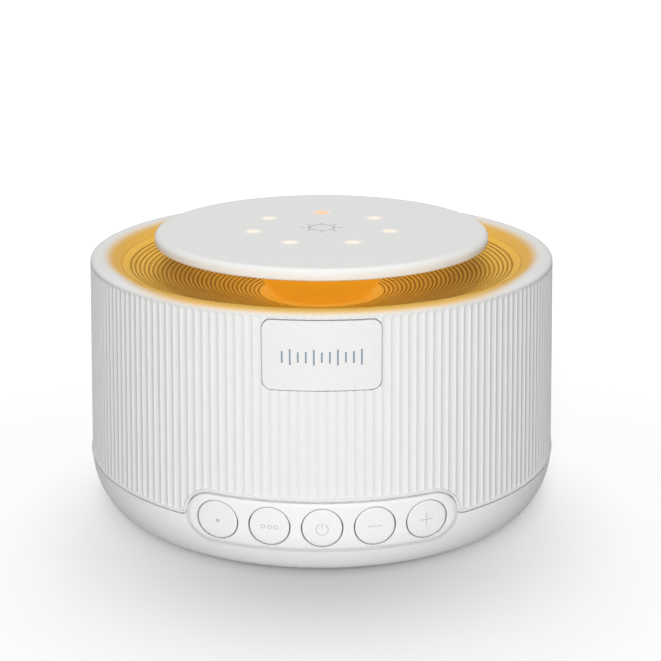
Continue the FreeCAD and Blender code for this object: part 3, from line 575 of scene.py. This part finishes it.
def guide_look():
    """The light guide, almost evenly bright."""
    look = material("light guide", (0.30, 0.11, 0.01), 0.5)
    tree, shader, _ = parts_of(look)
    _, _, z, _ = split_place(tree)
    level = ramp(tree, z, DISH_FOOT - GUIDE_FADE, DISH_FOOT + GUIDE_FADE)
    shader.inputs["Emission Color"].default_value = colour4(GUIDE_GLOW)
    tree.links.new(scale_add(tree, level, GUIDE_RISE, GUIDE_LEVEL), shader.inputs["Emission Strength"])
    return look


def indicator_reach(tree, x, y, radius):
    """The distance to the nearest of the points of light, which stand evenly on a ring."""
    share = calc(tree, "MULTIPLY", calc(tree, "ARCTAN2", x, y), INDICATORS / (2.0 * math.pi))
    off = calc(tree, "SUBTRACT", share, calc(tree, "ROUND", share))
    swing = calc(tree, "MULTIPLY", off, 2.0 * math.pi / INDICATORS)
    ahead = calc(tree, "MULTIPLY", radius, calc(tree, "COSINE", swing))
    across = calc(tree, "MULTIPLY", radius, calc(tree, "SINE", swing))
    return length_of(tree, calc(tree, "SUBTRACT", ahead, INDICATOR_RING), across)


def disc_look():
    """White plastic with seven soft points of light that shine through it, the rear one amber."""
    look = material("white disc", WHITE, 0.42, bump=0.03)
    tree, shader, plain = parts_of(look)
    x, y, z, radius = split_place(tree)
    reach = indicator_reach(tree, x, y, radius)
    top = ramp(tree, z, *POINT_DEPTH)
    core = ramp(tree, reach, *CORE_REACH)
    halo = calc(tree, "MULTIPLY", ramp(tree, reach, *HALO_REACH), HALO_GLOW)
    strength = calc(tree, "ADD", calc(tree, "MULTIPLY", core, CORE_GLOW), halo)
    middle = ramp(tree, calc(tree, "ABSOLUTE", x), *REAR_X)
    rear = calc(tree, "MULTIPLY", ramp(tree, y, *REAR_Y), middle)
    tree.links.new(blend_colour(tree, rear, colour4(POINT_LIGHT), colour4(REAR_LIGHT)),
                   shader.inputs["Emission Color"])
    strength = calc(tree, "MULTIPLY", strength, scale_add(tree, rear, REAR_BOOST, 1.0))
    tree.links.new(calc(tree, "MULTIPLY", strength, top), shader.inputs["Emission Strength"])
    # the base colour turns warm where the points shine: painted light, besides their glow
    mark = calc(tree, "MULTIPLY", calc(tree, "MULTIPLY", core, top), POINT_SHARE)
    tint = blend_colour(tree, rear, colour4(POINT_LIT_TINT), colour4(REAR_LIT_TINT))
    tree.links.new(blend_colour(tree, mark, plain, tint), shader.inputs["Base Color"])
    return look


def make_looks():
    return {
        "shell": shell_look(),
        "base": material("white base", (0.87, 0.87, 0.865), 0.45),
        "plate": material("white plate", (0.80, 0.80, 0.79), 0.38, bump=0.02),
        "disc": disc_look(),
        "cap": material("button cap", (0.86, 0.86, 0.855), 0.35, bump=0.02),
        "dish": dish_look(),
        # the hole walls are a darker copy of the dish's amber: painted shade in the holes
        "hole": material("hole wall", (0.26, 0.12, 0.015), 0.7),
        "guide": guide_look(),
        "print": material("grey print", (0.30, 0.30, 0.31), 0.6),
        "fine": material("pale print", (0.55, 0.55, 0.555), 0.6),
        "plate_print": material("blue grey print", (0.28, 0.33, 0.40), 0.6),
        "lamp": material("lamp", (0.85, 0.70, 0.35), 0.3),
        "board": material("circuit board", (0.03, 0.17, 0.09), 0.4, grain=400.0, spread=0.2),
        "inner": material("inner plastic", (0.10, 0.10, 0.105), 0.6),
        "foam": material("foam", (0.03, 0.03, 0.032), 0.95, grain=2500.0, bump=0.5, spread=0.3),
        "steel": material("pressed steel", (0.55, 0.56, 0.58), 0.35, metallic=1.0),
        "magnet": material("magnet", (0.08, 0.08, 0.085), 0.45, metallic=0.6),
        "paper": material("cone paper", (0.045, 0.045, 0.05), 0.9, grain=1800.0, bump=0.4, spread=0.3),
        "copper": material("coil copper", (0.70, 0.33, 0.16), 0.3, metallic=1.0),
        "rubber": material("rubber", (0.035, 0.035, 0.037), 0.8, grain=1500.0, bump=0.2),
        "chips": material("chips", (0.05, 0.05, 0.055), 0.5),
    }


# Sub-parts


def pod_edge(x, grow):
    """The height of the line between drum and base: level, and up and over the pod in front."""
    x = abs(x)
    radius = POD_HALF + grow
    line = SEAM - GAP + grow
    fillet = FILLET + GAP - grow
    fillet_z = line + fillet
    fillet_x = POD_END + math.sqrt((radius + fillet) ** 2 - (fillet_z - POD_LEVEL) ** 2)
    touch_x = POD_END + (fillet_x - POD_END) * radius / (radius + fillet)
    if x >= fillet_x:
        return line
    if x > touch_x:
        return fillet_z - math.sqrt(fillet ** 2 - (x - fillet_x) ** 2)
    if x > POD_END:
        return POD_LEVEL + math.sqrt(radius ** 2 - (x - POD_END) ** 2)
    return POD_LEVEL + radius


def edge_at(angle, grow):
    if math.cos(angle) < 0.0:
        return SEAM - GAP + grow
    return pod_edge(cusp_radius(SEAM) * math.sin(angle), grow)


def fluted_radius(angle, height):
    """Concave flutes between sharp cusps. A flute narrows to a round end where it runs out."""
    share = angle * FLUTE_COUNT / (2.0 * math.pi)
    across = 2.0 * (share - round(share))
    rise = max(height - (FLUTE_TOP - RUNOUT), 0.0) / RUNOUT
    depth = FLUTE_DEPTH * (1.0 - rise * rise)
    return cusp_radius(height) - max(depth - FLUTE_DEPTH * across * across, 0.0)


def rim_profile():
    """The rounded rim, its slope down to the dish, and the seat that carries the dish."""
    turns = [math.radians(90.0 * step / CREST_STEPS) for step in range(1, CREST_STEPS + 1)]
    outer = [(CREST_RADIUS + (DRUM_RADIUS - CREST_RADIUS) * math.cos(turn),
              FLUTE_TOP + (CREST - FLUTE_TOP) * math.sin(turn)) for turn in turns]
    inner = DISH_RADIUS + DISH_GAP
    slope = bezier((CREST_RADIUS, CREST), *SLOPE_PULLS, (inner, DISH_EDGE), SLOPE_STEPS)
    seat = [(inner, SEAT), (SEAT_RADIUS, SEAT), (SEAT_RADIUS, SEAT_UNDERSIDE),
            (DRUM_RADIUS - WALL, SEAT_UNDERSIDE)]
    return outer + slope + seat


def make_drum(looks):
    angles = full_turn(COLUMNS)
    starts = [edge_at(angle, GAP) for angle in angles]
    levels = list(FLUTE_LEVELS)
    levels += [FLUTE_TOP - RUNOUT * (1.0 - step / RUNOUT_STEPS) for step in range(RUNOUT_STEPS + 1)]
    rows = [[around(fluted_radius(angle, start), angle, start) for angle, start in zip(angles, starts)]]
    rows += [[around(fluted_radius(angle, level), angle, level) for angle in angles] for level in levels]
    rows += [circle_row(radius, height, angles) for radius, height in rim_profile()]
    rows.append([around(cusp_radius(start) - WALL, angle, start) for angle, start in zip(angles, starts)])
    drum = ring_object("drum_skin", rows, wrap=True)
    carve(drum, plate_form("plate_pocket", PLATE_GAP, -POCKET_DEPTH, POCKET_REACH))
    piece(drum, looks["shell"], stands_for=("main_shell",))


def bead_section(x, height, drift=0.0, climb=1.0, turned=0.0):
    """A half round across the bead, its two edges sunk in the drum. Drift and climb are the
    direction across the bead, and turned is an angle about the axis."""
    section = []
    for number in range(BEAD_SIDES + 1):
        turn = math.pi * number / BEAD_SIDES
        offset = BEAD_WIDTH * 0.5 * (1.0 - math.cos(turn))
        level = height + climb * offset
        bulge = (BEAD_PROUD + BEAD_SINK) * math.sqrt(max(math.sin(turn), 0.0))
        angle = turned + math.asin((x + drift * offset) / cusp_radius(SEAM))
        section.append(around(cusp_radius(level) - BEAD_SINK + bulge, angle, level))
    return section


def bead_front():
    """Sections along the front, square to the bead as it climbs over the pod."""
    sections = []
    for step in range(BEAD_FRONT_STEPS + 1):
        x = -BEAD_REACH + 2.0 * BEAD_REACH * step / BEAD_FRONT_STEPS
        rise = pod_edge(x + BEAD_FEEL, GAP) - pod_edge(x - BEAD_FEEL, GAP)
        length = math.hypot(2.0 * BEAD_FEEL, rise)
        sections.append(bead_section(x, pod_edge(x, GAP), -rise / length, 2.0 * BEAD_FEEL / length))
    return sections


def bead_back():
    """Sections around the back, where the bead is level."""
    end = math.asin(BEAD_REACH / cusp_radius(SEAM))
    sweep = 2.0 * math.pi - 2.0 * end
    return [bead_section(0.0, SEAM, turned=end + sweep * step / BEAD_BACK_STEPS)
            for step in range(1, BEAD_BACK_STEPS)]


def make_bead(looks):
    bead = ring_object("seam_bead", bead_front() + bead_back(), wrap=True)
    piece(bead, looks["shell"], crease=60.0)


def plate_form(name, grow, inward, outward):
    """The front plate's rounded rectangle as a slab that follows the drum."""
    half = (PLATE_HIGH.x - PLATE_LOW.x) * 0.5 + grow
    tall = (PLATE_HIGH.z - PLATE_LOW.z) * 0.5 + grow
    middle = (PLATE_HIGH.z + PLATE_LOW.z) * 0.5
    corner = PLATE_CORNER + grow
    flat = half - corner
    ends = [flat + corner * math.sin(math.radians(90.0 * step / CORNER_STEPS))
            for step in range(CORNER_STEPS + 1)]
    inner = [flat * (step / FLAT_STEPS) for step in range(FLAT_STEPS)]
    rows = []
    for x in [-x for x in reversed(inner[1:] + ends)] + inner + ends:
        over = max(abs(x) - flat, 0.0)
        reach = tall - corner + math.sqrt(max(corner ** 2 - over ** 2, 0.0))
        rows.append([on_front(cusp_radius(level) + push, x, level) for level, push in (
            (middle - reach, inward), (middle - reach, outward),
            (middle + reach, outward), (middle + reach, inward))])
    points = [point for row in rows for point in row]
    last = len(points)
    faces = ring_faces(len(rows), 4, False) + [(0, 1, 2, 3), (last - 4, last - 3, last - 2, last - 1)]
    return raw_object(name, points, faces)


def make_plate(looks):
    plate = plate_form("name_plate", 0.0, -PLATE_DEPTH, PLATE_PROUD)
    piece(plate, looks["plate"], stands_for=("front_plate",), crease=40.0)
    soft = plate.modifiers.new("soft edge", "BEVEL")
    soft.width = PLATE_EDGE * MM
    soft.segments = 3
    soft.angle_limit = math.radians(50.0)
    make_plate_bars(looks)


def on_plate(x, z):
    return on_front(cusp_radius(z) + PLATE_PROUD + PLATE_LIFT, x, z)


def make_plate_bars(looks):
    """A row of upright bars, long and short in turn, where the photograph has words."""
    middle = (PLATE_HIGH.z + PLATE_LOW.z) * 0.5 - BAR_DROP
    bars = []
    for number in range(BAR_COUNT):
        x = (number - (BAR_COUNT - 1) / 2.0) * BAR_PITCH
        tall = BAR_SHORT + BAR_SWING * abs(math.sin(number * BAR_WAVE + BAR_PHASE))
        bars.append(([(x, middle - tall), (x, middle + tall)], False))
    print_mark("plate_bars", bars, BAR_WIDTH, on_plate, looks["plate_print"])


def bowl_radius(height):
    corner_z = BASE_LOW.z + CORNER_ARC
    side_x = cusp_radius(SEAM) - SIDE_ARC
    if height >= corner_z - CORNER_ARC * CORNER_JOIN:
        drop = max(SEAM - GAP - height, 0.0)
        return side_x + math.sqrt(SIDE_ARC ** 2 - drop ** 2)
    drop = min(corner_z - height, CORNER_ARC)
    return side_x + (SIDE_ARC - CORNER_ARC) * CORNER_SHARE + math.sqrt(CORNER_ARC ** 2 - drop ** 2)


def pod_face(height):
    """The pod is upright above the seam and leans in a little with the bowl below it."""
    return min(POD_RADIUS, bowl_radius(height) + POD_PROUD)


def base_radius(angle, height):
    """The bowl, drawn out to the pod's face with a soft border."""
    bowl = bowl_radius(height)
    if math.cos(angle) <= 0.0:
        return bowl
    x = POD_RADIUS * math.sin(angle)
    reach = math.hypot(max(abs(x) - POD_END, 0.0), height - POD_LEVEL) - POD_HALF
    share = smooth_step((SOFT_OUT - reach) / (SOFT_OUT + SOFT_IN))
    return bowl + (pod_face(height) - bowl) * share


def base_outside(angles, tops):
    """Rows from the seam down over the pod, and on around the foot."""
    rows = []
    for step in range(POD_ROWS + 1):
        share = step / POD_ROWS
        levels = [top + (POD_FOOT - top) * share for top in tops]
        rows.append([around(base_radius(angle, level), angle, level)
                     for angle, level in zip(angles, levels)])
    for step in range(1, FOOT_ROWS + 1):
        drop = (POD_FOOT - BASE_LOW.z) * math.sin(math.radians(90.0 * step / FOOT_ROWS))
        rows.append(circle_row(bowl_radius(POD_FOOT - drop), POD_FOOT - drop, angles))
    return rows


def base_inside(angles, tops):
    """Rows from the underside's middle over the inner floor and the wall to the tongue and seam."""
    wall = TONGUE_RADIUS - TONGUE_WALL
    lip = cusp_radius(SEAM) - GROOVE
    rows = [circle_row(radius, level, angles) for radius, level in (
        (0.0, BASE_LOW.z), (0.0, FLOOR_TOP), (FLOOR_RADIUS, FLOOR_TOP), (wall, TONGUE_FOOT))]
    rows += [[around(radius, angle, top + rise) for angle, top in zip(angles, tops)]
             for radius, rise in ((wall, TONGUE_RISE), (TONGUE_RADIUS, TONGUE_RISE),
                                  (TONGUE_RADIUS, GAP), (lip, GAP), (lip, 0.0))]
    return rows


def make_base(looks):
    angles = full_turn(COLUMNS)
    tops = [edge_at(angle, 0.0) for angle in angles]
    base = ring_object("base_skin", base_outside(angles, tops) + base_inside(angles, tops), wrap=True)
    carve(base, base_cutters())
    piece(base, looks["base"], stands_for=("base_shell",))


def button_centre(name):
    """X and Z of a button's middle, and the Y of its rear end."""
    low, high = box_mm(f"button_{name}")
    return (low.x + high.x) * 0.5, (low.z + high.z) * 0.5, high.y


def add_bar(points, faces, ring, ends):
    """A closed bar along Y with the given outline."""
    first = len(points)
    count = len(ring)
    points += [(x, y, z) for y in ends for x, z in ring]
    for number in range(count):
        after = (number + 1) % count
        faces.append((first + number, first + after, first + count + after, first + count + number))
    faces.append(tuple(range(first, first + count)))
    faces.append(tuple(range(first + count, first + 2 * count)))


def base_cutters():
    """The five button bores and the slot of the power inlet."""
    points = []
    faces = []
    radius = CAP_RADIUS + CAP_GAP
    for name in BUTTONS:
        x, z, _ = button_centre(name)
        ring = [(x + radius * math.cos(turn), z + radius * math.sin(turn))
                for turn in full_turn(BUTTON_SIDES)]
        add_bar(points, faces, ring, BORE_ENDS)
    low, high = box_mm("power_inlet")
    half = (high.z - low.z) * 0.5 + SLOT_GAP
    end = (high.x - low.x) * 0.5 + SLOT_GAP - half
    level = (high.z + low.z) * 0.5
    ring = arc((end, level), half, -90.0, 90.0, SLOT_STEPS)
    ring += [(-x, 2.0 * level - z) for x, z in ring]
    add_bar(points, faces, ring, SLOT_ENDS)
    return raw_object("base_cutters", points, faces)


def dish_height(radius):
    share = (radius - DISH_FLAT) / (DISH_RADIUS - DISH_FLAT)
    return DISH_FOOT + (DISH_EDGE - DISH_FOOT) * share - DISH_BOW * 4.0 * share * (1.0 - share)


def hole_ring(points, faces, middle, stagger):
    """One ring of square cells, each with a hole of eight sides that meet the cell's edge points."""
    count = round(2.0 * math.pi * middle / HOLE_PITCH)
    pitch = 2.0 * math.pi / count
    start = len(points)
    inner, outer = middle - HOLE_PITCH * 0.5, middle + HOLE_PITCH * 0.5
    stride = 5 + 2 * HOLE_SIDES
    for number in range(count):
        angle = (number + 0.5 * stagger) * pitch
        centre = angle + pitch * 0.5
        for radius, turn in ((inner, angle), (middle, angle), (outer, angle),
                             (inner, centre), (outer, centre)):
            points.append(around(radius, turn, dish_height(radius)))
        for depth in (0.0, HOLE_DEPTH):
            for swing in (math.radians(360.0 * side / HOLE_SIDES) for side in range(HOLE_SIDES)):
                radius = middle + HOLE_RADIUS * math.cos(swing)
                turn = centre + HOLE_RADIUS * math.sin(swing) / middle
                points.append(around(radius, turn, dish_height(radius) - depth))
        here = start + stride * number
        beside = start + stride * ((number + 1) % count)
        cell = (here + 4, beside + 2, beside + 1, beside, here + 3, here, here + 1, here + 2)
        top = here + 5
        bottom = top + HOLE_SIDES
        for side in range(HOLE_SIDES):
            after = (side + 1) % HOLE_SIDES
            faces.append((cell[side], cell[after], top + after, top + side))
            faces.append((top + side, top + after, bottom + after, bottom + side))


def make_dish(looks):
    """The dish with its rings of round holes, between a plain margin and the column's foot."""
    points = []
    faces = []
    rings = int((HOLE_OUTER - HOLE_INNER) / HOLE_PITCH)
    for ring in range(rings):
        hole_ring(points, faces, HOLE_INNER + HOLE_PITCH * (ring + 0.5), ring % 2)
    dish = raw_object("dish_holes", points, faces)
    piece(dish, looks["dish"], stands_for=("dish_grille",), crease=50.0)
    # the hole walls take the darker amber, painted shade
    dish.data.materials.append(looks["hole"])
    indices = [number % 2 for number in range(len(dish.data.polygons))]
    dish.data.polygons.foreach_set("material_index", indices)
    outer = HOLE_INNER + HOLE_PITCH * rings
    margin = [outer + (DISH_RADIUS - outer) * step / MARGIN_STEPS for step in range(MARGIN_STEPS + 1)]
    profile = [(radius, dish_height(radius)) for radius in margin]
    profile += [(DISH_RADIUS, SEAT + DISH_LIFT), (outer, SEAT + DISH_LIFT)]
    piece(lathe("dish_margin", profile, 360, wrap=True), looks["dish"])
    floor = [(HOLE_INNER, dish_height(HOLE_INNER)), (DISH_FLAT, DISH_FOOT), (DISH_BORE, DISH_FOOT),
             (DISH_BORE, DISH_FOOT - DISH_WALL), (HOLE_INNER, DISH_FOOT - DISH_WALL)]
    piece(lathe("dish_floor", floor, 256, wrap=True), looks["dish"])


def make_column(looks):
    low, high = COLUMN_LOW.z, COLUMN_HIGH.z
    wide = COLUMN_HIGH.x
    first = (GUIDE_FOOT + FLARE_START[0], low + FLARE_START[1])
    last = (wide - FLARE_END[0], low + FLARE_END[1])
    flare = bezier((GUIDE_FOOT, low), first, last, (wide, low + FLARE), FLARE_STEPS)
    profile = [(GUIDE_BORE, low), (GUIDE_FOOT, low), *flare, (wide, high), (GUIDE_BORE, high)]
    piece(lathe("glow_column", profile, 192, wrap=True), looks["guide"],
          stands_for=("light_column",))


def on_disc(x, y):
    return x, y, DISC_FACE + PRINT_LIFT


def make_disc(looks):
    inner = DISC_RADIUS - DISC_WALL
    profile = [(0.0, DISC_FACE - DISC_SHEET), (inner, DISC_FACE - DISC_SHEET), (inner, DISC_LOW.z)]
    profile += arc((DISC_RADIUS - DISC_LIP, DISC_LOW.z + DISC_LIP), DISC_LIP, -90.0, 0.0, 6)
    profile += arc((DISC_RADIUS - DISC_EDGE, DISC_FACE - DISC_EDGE), DISC_EDGE, 0.0, 90.0, 12)
    profile += [(radius, DISC_FACE) for radius in DISC_RINGS]
    piece(lathe("disc_skin", profile, 360), looks["disc"], stands_for=("top_disc",))
    circle = [(SUN_RADIUS * math.cos(turn), SUN_RADIUS * math.sin(turn)) for turn in full_turn(SUN_STEPS)]
    rays = [([(reach * math.sin(turn), reach * math.cos(turn)) for reach in RAY_ENDS], False)
            for turn in full_turn(SUN_RAYS)]
    print_mark("sun_mark", [(circle, True)] + rays, MARK, on_disc, looks["print"])


def cap_place(x, z, lift=0.0):
    return on_front(pod_face(z) - CAP_SINK + lift, x, z)


def on_cap(x, z):
    return cap_place(x, z, PRINT_LIFT)


def cap_front(x, z, turns):
    """Rows over a cap's face, which follows the pod, and over its rounded edge."""
    flat = CAP_RADIUS - CAP_BEVEL
    rings = [(flat * step / CAP_RINGS, 0.0) for step in range(CAP_RINGS + 1)]
    for swing in (math.radians(90.0 * step / CAP_RINGS) for step in range(1, CAP_RINGS + 1)):
        rings.append((flat + CAP_BEVEL * math.sin(swing), CAP_BEVEL * (1.0 - math.cos(swing))))
    rows = []
    for reach, drop in rings:
        places = [cap_place(x + reach * math.cos(turn), z + reach * math.sin(turn)) for turn in turns]
        rows.append([(px, py + drop, pz) for px, py, pz in places])
    return rows


def make_button(name, looks):
    x, z, back = button_centre(name)
    turns = full_turn(BUTTON_SIDES)
    rows = cap_front(x, z, turns)
    for reach, depth in ((CAP_RADIUS, FLANGE_FRONT), (FLANGE_RADIUS, FLANGE_FRONT),
                         (FLANGE_RADIUS, FLANGE_BACK), (STEM_RADIUS, FLANGE_BACK),
                         (STEM_RADIUS, back), (0.0, back)):
        rows.append([(x + reach * math.cos(turn), depth, z + reach * math.sin(turn)) for turn in turns])
    piece(ring_object(f"{name}_cap", rows), looks["cap"], f"{name}_key",
          (f"button_{name}",))
    lines = [([(x + across, z + up) for across, up in line], closed) for line, closed in symbol(name)]
    print_mark(f"{name}_mark", lines, SYMBOL_WIDTH, on_cap, looks["fine"],
               f"{name}_key")


def circle_line(x, z, radius, first=0.0, last=360.0, steps=40):
    closed = last - first >= 360.0
    line = arc((x, z), radius, first, last, steps)
    return (line[:-1] if closed else line), closed


def upright(bottom, top):
    return [(0.0, bottom), (0.0, top)], False


def symbol(name):
    """The lines of each button's generic symbol."""
    across = [SYMBOL_HALF * (2.0 * step / SYMBOL_STEPS - 1.0) for step in range(SYMBOL_STEPS + 1)]
    bar = ([(x, 0.0) for x in across], False)
    marks = {
        "dot": [circle_line(0.0, DOT_LEVEL, radius) for radius in DOT_RINGS],
        "mode": [circle_line(MODE_PITCH * place, MODE_LEVEL, MODE_RING) for place in (-1, 0, 1)],
        "power": [circle_line(0.0, POWER_LEVEL, POWER_RING, *POWER_TURNS), upright(*POWER_BAR)],
        "minus": [bar],
        "plus": [bar, upright(-SYMBOL_HALF, SYMBOL_HALF)],
    }
    return marks[name]


def dress_nodes(looks):
    """Materials for the modelled pieces that are shown as they are."""
    plain = {
        "lamp_board": "board", "touch_board": "board", "main_board": "board", "button_board": "board",
        "lamp_leds": "lamp", "indicator_leds": "lamp", "disc_tray": "disc", "speaker_baffle": "inner",
        "speaker_gasket": "foam", "speaker_frame": "steel", "speaker_magnet": "magnet",
        "speaker_cone": "paper", "dust_cap": "paper", "voice_coil": "copper", "rubber_feet": "rubber",
        "speaker_surround": "rubber", "board_parts": "chips", "power_inlet": "steel",
        "key_switches": "chips",
    }
    for node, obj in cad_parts.items():
        obj.data.materials.clear()
        obj.data.materials.append(looks[plain.get(node, "steel" if "screws" in node else "inner")])


# Stage, light and camera


def seen_directly(tree):
    """1 for what the camera sees, also in a reflection or through something clear, and 0 for light."""
    path = add_node(tree, "ShaderNodeLightPath")
    seen = calc(tree, "ADD", path.outputs["Is Camera Ray"], path.outputs["Is Glossy Ray"])
    return calc(tree, "MINIMUM", calc(tree, "ADD", seen, path.outputs["Is Transmission Ray"]), 1.0)


def floor_look():
    """Pale paper with painted shadows: darkest under the object, grey in front of it and almost white
    further out.
    """
    look = material("floor paper", (0.35, 0.35, 0.35), 0.9, grain=300.0, bump=0.0, spread=0.01,
                    gloss=0.0)
    tree, shader, _ = parts_of(look)
    x, y, _, radius = split_place(tree)
    # painted shadow in front of the object, centred a little ahead of the axis
    ahead = calc(tree, "DIVIDE", calc(tree, "ADD", y, FLOOR_SHADOW_AHEAD), FLOOR_SHADOW_STRETCH)
    reach = length_of(tree, x, ahead)
    near = calc(tree, "MULTIPLY", ramp(tree, reach, *NEAR_REACH), FLOOR_NEAR)
    far = calc(tree, "MULTIPLY", ramp(tree, reach, *FAR_REACH), FLOOR_FAR)
    level = calc(tree, "ADD", calc(tree, "ADD", near, far), FLOOR_LEAST)
    # painted contact shadow, darker under the object
    contact_shadow = scale_add(tree, ramp(tree, radius, *CONTACT_SHADOW_REACH), CONTACT_SHADOW_DEPTH, 1.0 - CONTACT_SHADOW_DEPTH)
    level = calc(tree, "MULTIPLY", level, contact_shadow)
    shader.inputs["Emission Color"].default_value = (1.0, 1.0, 1.0, 1.0)
    tree.links.new(calc(tree, "MULTIPLY", seen_directly(tree), level), shader.inputs["Emission Strength"])
    return look


def make_stage():
    corners = [(-FLOOR_HALF, -FLOOR_HALF, 0), (FLOOR_HALF, -FLOOR_HALF, 0),
               (FLOOR_HALF, FLOOR_HALF, 0), (-FLOOR_HALF, FLOOR_HALF, 0)]
    floor = raw_object("floor", corners, [(0, 1, 2, 3)])
    floor.data.materials.append(floor_look())


def make_world():
    """White where it is seen, and a weak even light for everything else."""
    world = bpy.data.worlds.new("studio")
    bpy.context.scene.world = world
    world.use_nodes = True
    tree = world.node_tree
    tree.nodes.clear()
    ambient = add_node(tree, "ShaderNodeBackground")
    ambient.inputs["Color"].default_value = (0.98, 0.99, 1.0, 1.0)
    ambient.inputs["Strength"].default_value = AMBIENT
    white = add_node(tree, "ShaderNodeBackground")
    white.inputs["Color"].default_value = (1.0, 1.0, 1.0, 1.0)
    mix = add_node(tree, "ShaderNodeMixShader")
    tree.links.new(seen_directly(tree), mix.inputs[0])
    tree.links.new(ambient.outputs[0], mix.inputs[1])
    tree.links.new(white.outputs[0], mix.inputs[2])
    output = add_node(tree, "ShaderNodeOutputWorld")
    tree.links.new(mix.outputs[0], output.inputs["Surface"])


def area_light(name, place, target, size, power):
    light = bpy.data.lights.new(name, "AREA")
    light.shape = "DISK"
    light.size = size
    light.energy = power
    obj = bpy.data.objects.new(name, light)
    obj.location = place
    obj.rotation_euler = (Vector(target) - Vector(place)).to_track_quat("-Z", "Y").to_euler()
    obj.visible_glossy = name not in UNMIRRORED
    bpy.context.scene.collection.objects.link(obj)


def lamp_light(number):
    """One of the small amber lights that stand for the light guide's own light on the dish."""
    light = bpy.data.lights.new(f"amber {number}", "POINT")
    light.energy = LAMP_POWER
    light.color = LAMP_LIGHT
    light.shadow_soft_size = LAMP_SIZE * MM
    obj = bpy.data.objects.new(f"amber {number}", light)
    obj.location = Vector(around(LAMP_RING, 2.0 * math.pi * number / LAMP_COUNT, LAMP_LEVEL)) * MM
    obj.visible_camera = False
    obj.visible_glossy = False
    bpy.context.scene.collection.objects.link(obj)


def make_lights():
    for values in SOFT_LIGHTS:
        area_light(*values)
    for number in range(LAMP_COUNT):
        lamp_light(number)


def make_camera():
    data = bpy.data.cameras.new("camera")
    data.lens = CAMERA_LENS
    data.sensor_width = SENSOR
    data.clip_start = 0.01
    camera = bpy.data.objects.new("camera", data)
    camera.location = Vector(CAMERA_PLACE) * MM
    camera.rotation_euler = (math.radians(90.0 - CAMERA_PITCH), 0.0, math.radians(-CAMERA_YAW))
    bpy.context.scene.collection.objects.link(camera)
    bpy.context.scene.camera = camera


def build():
    looks = make_looks()
    dress_nodes(looks)
    make_drum(looks)
    make_bead(looks)
    make_plate(looks)
    make_base(looks)
    make_dish(looks)
    make_column(looks)
    make_disc(looks)
    for name in BUTTONS:
        make_button(name, looks)
    make_stage()
    make_world()
    make_lights()
    make_camera()
    bpy.context.scene.view_settings.view_transform = "Standard"


build()
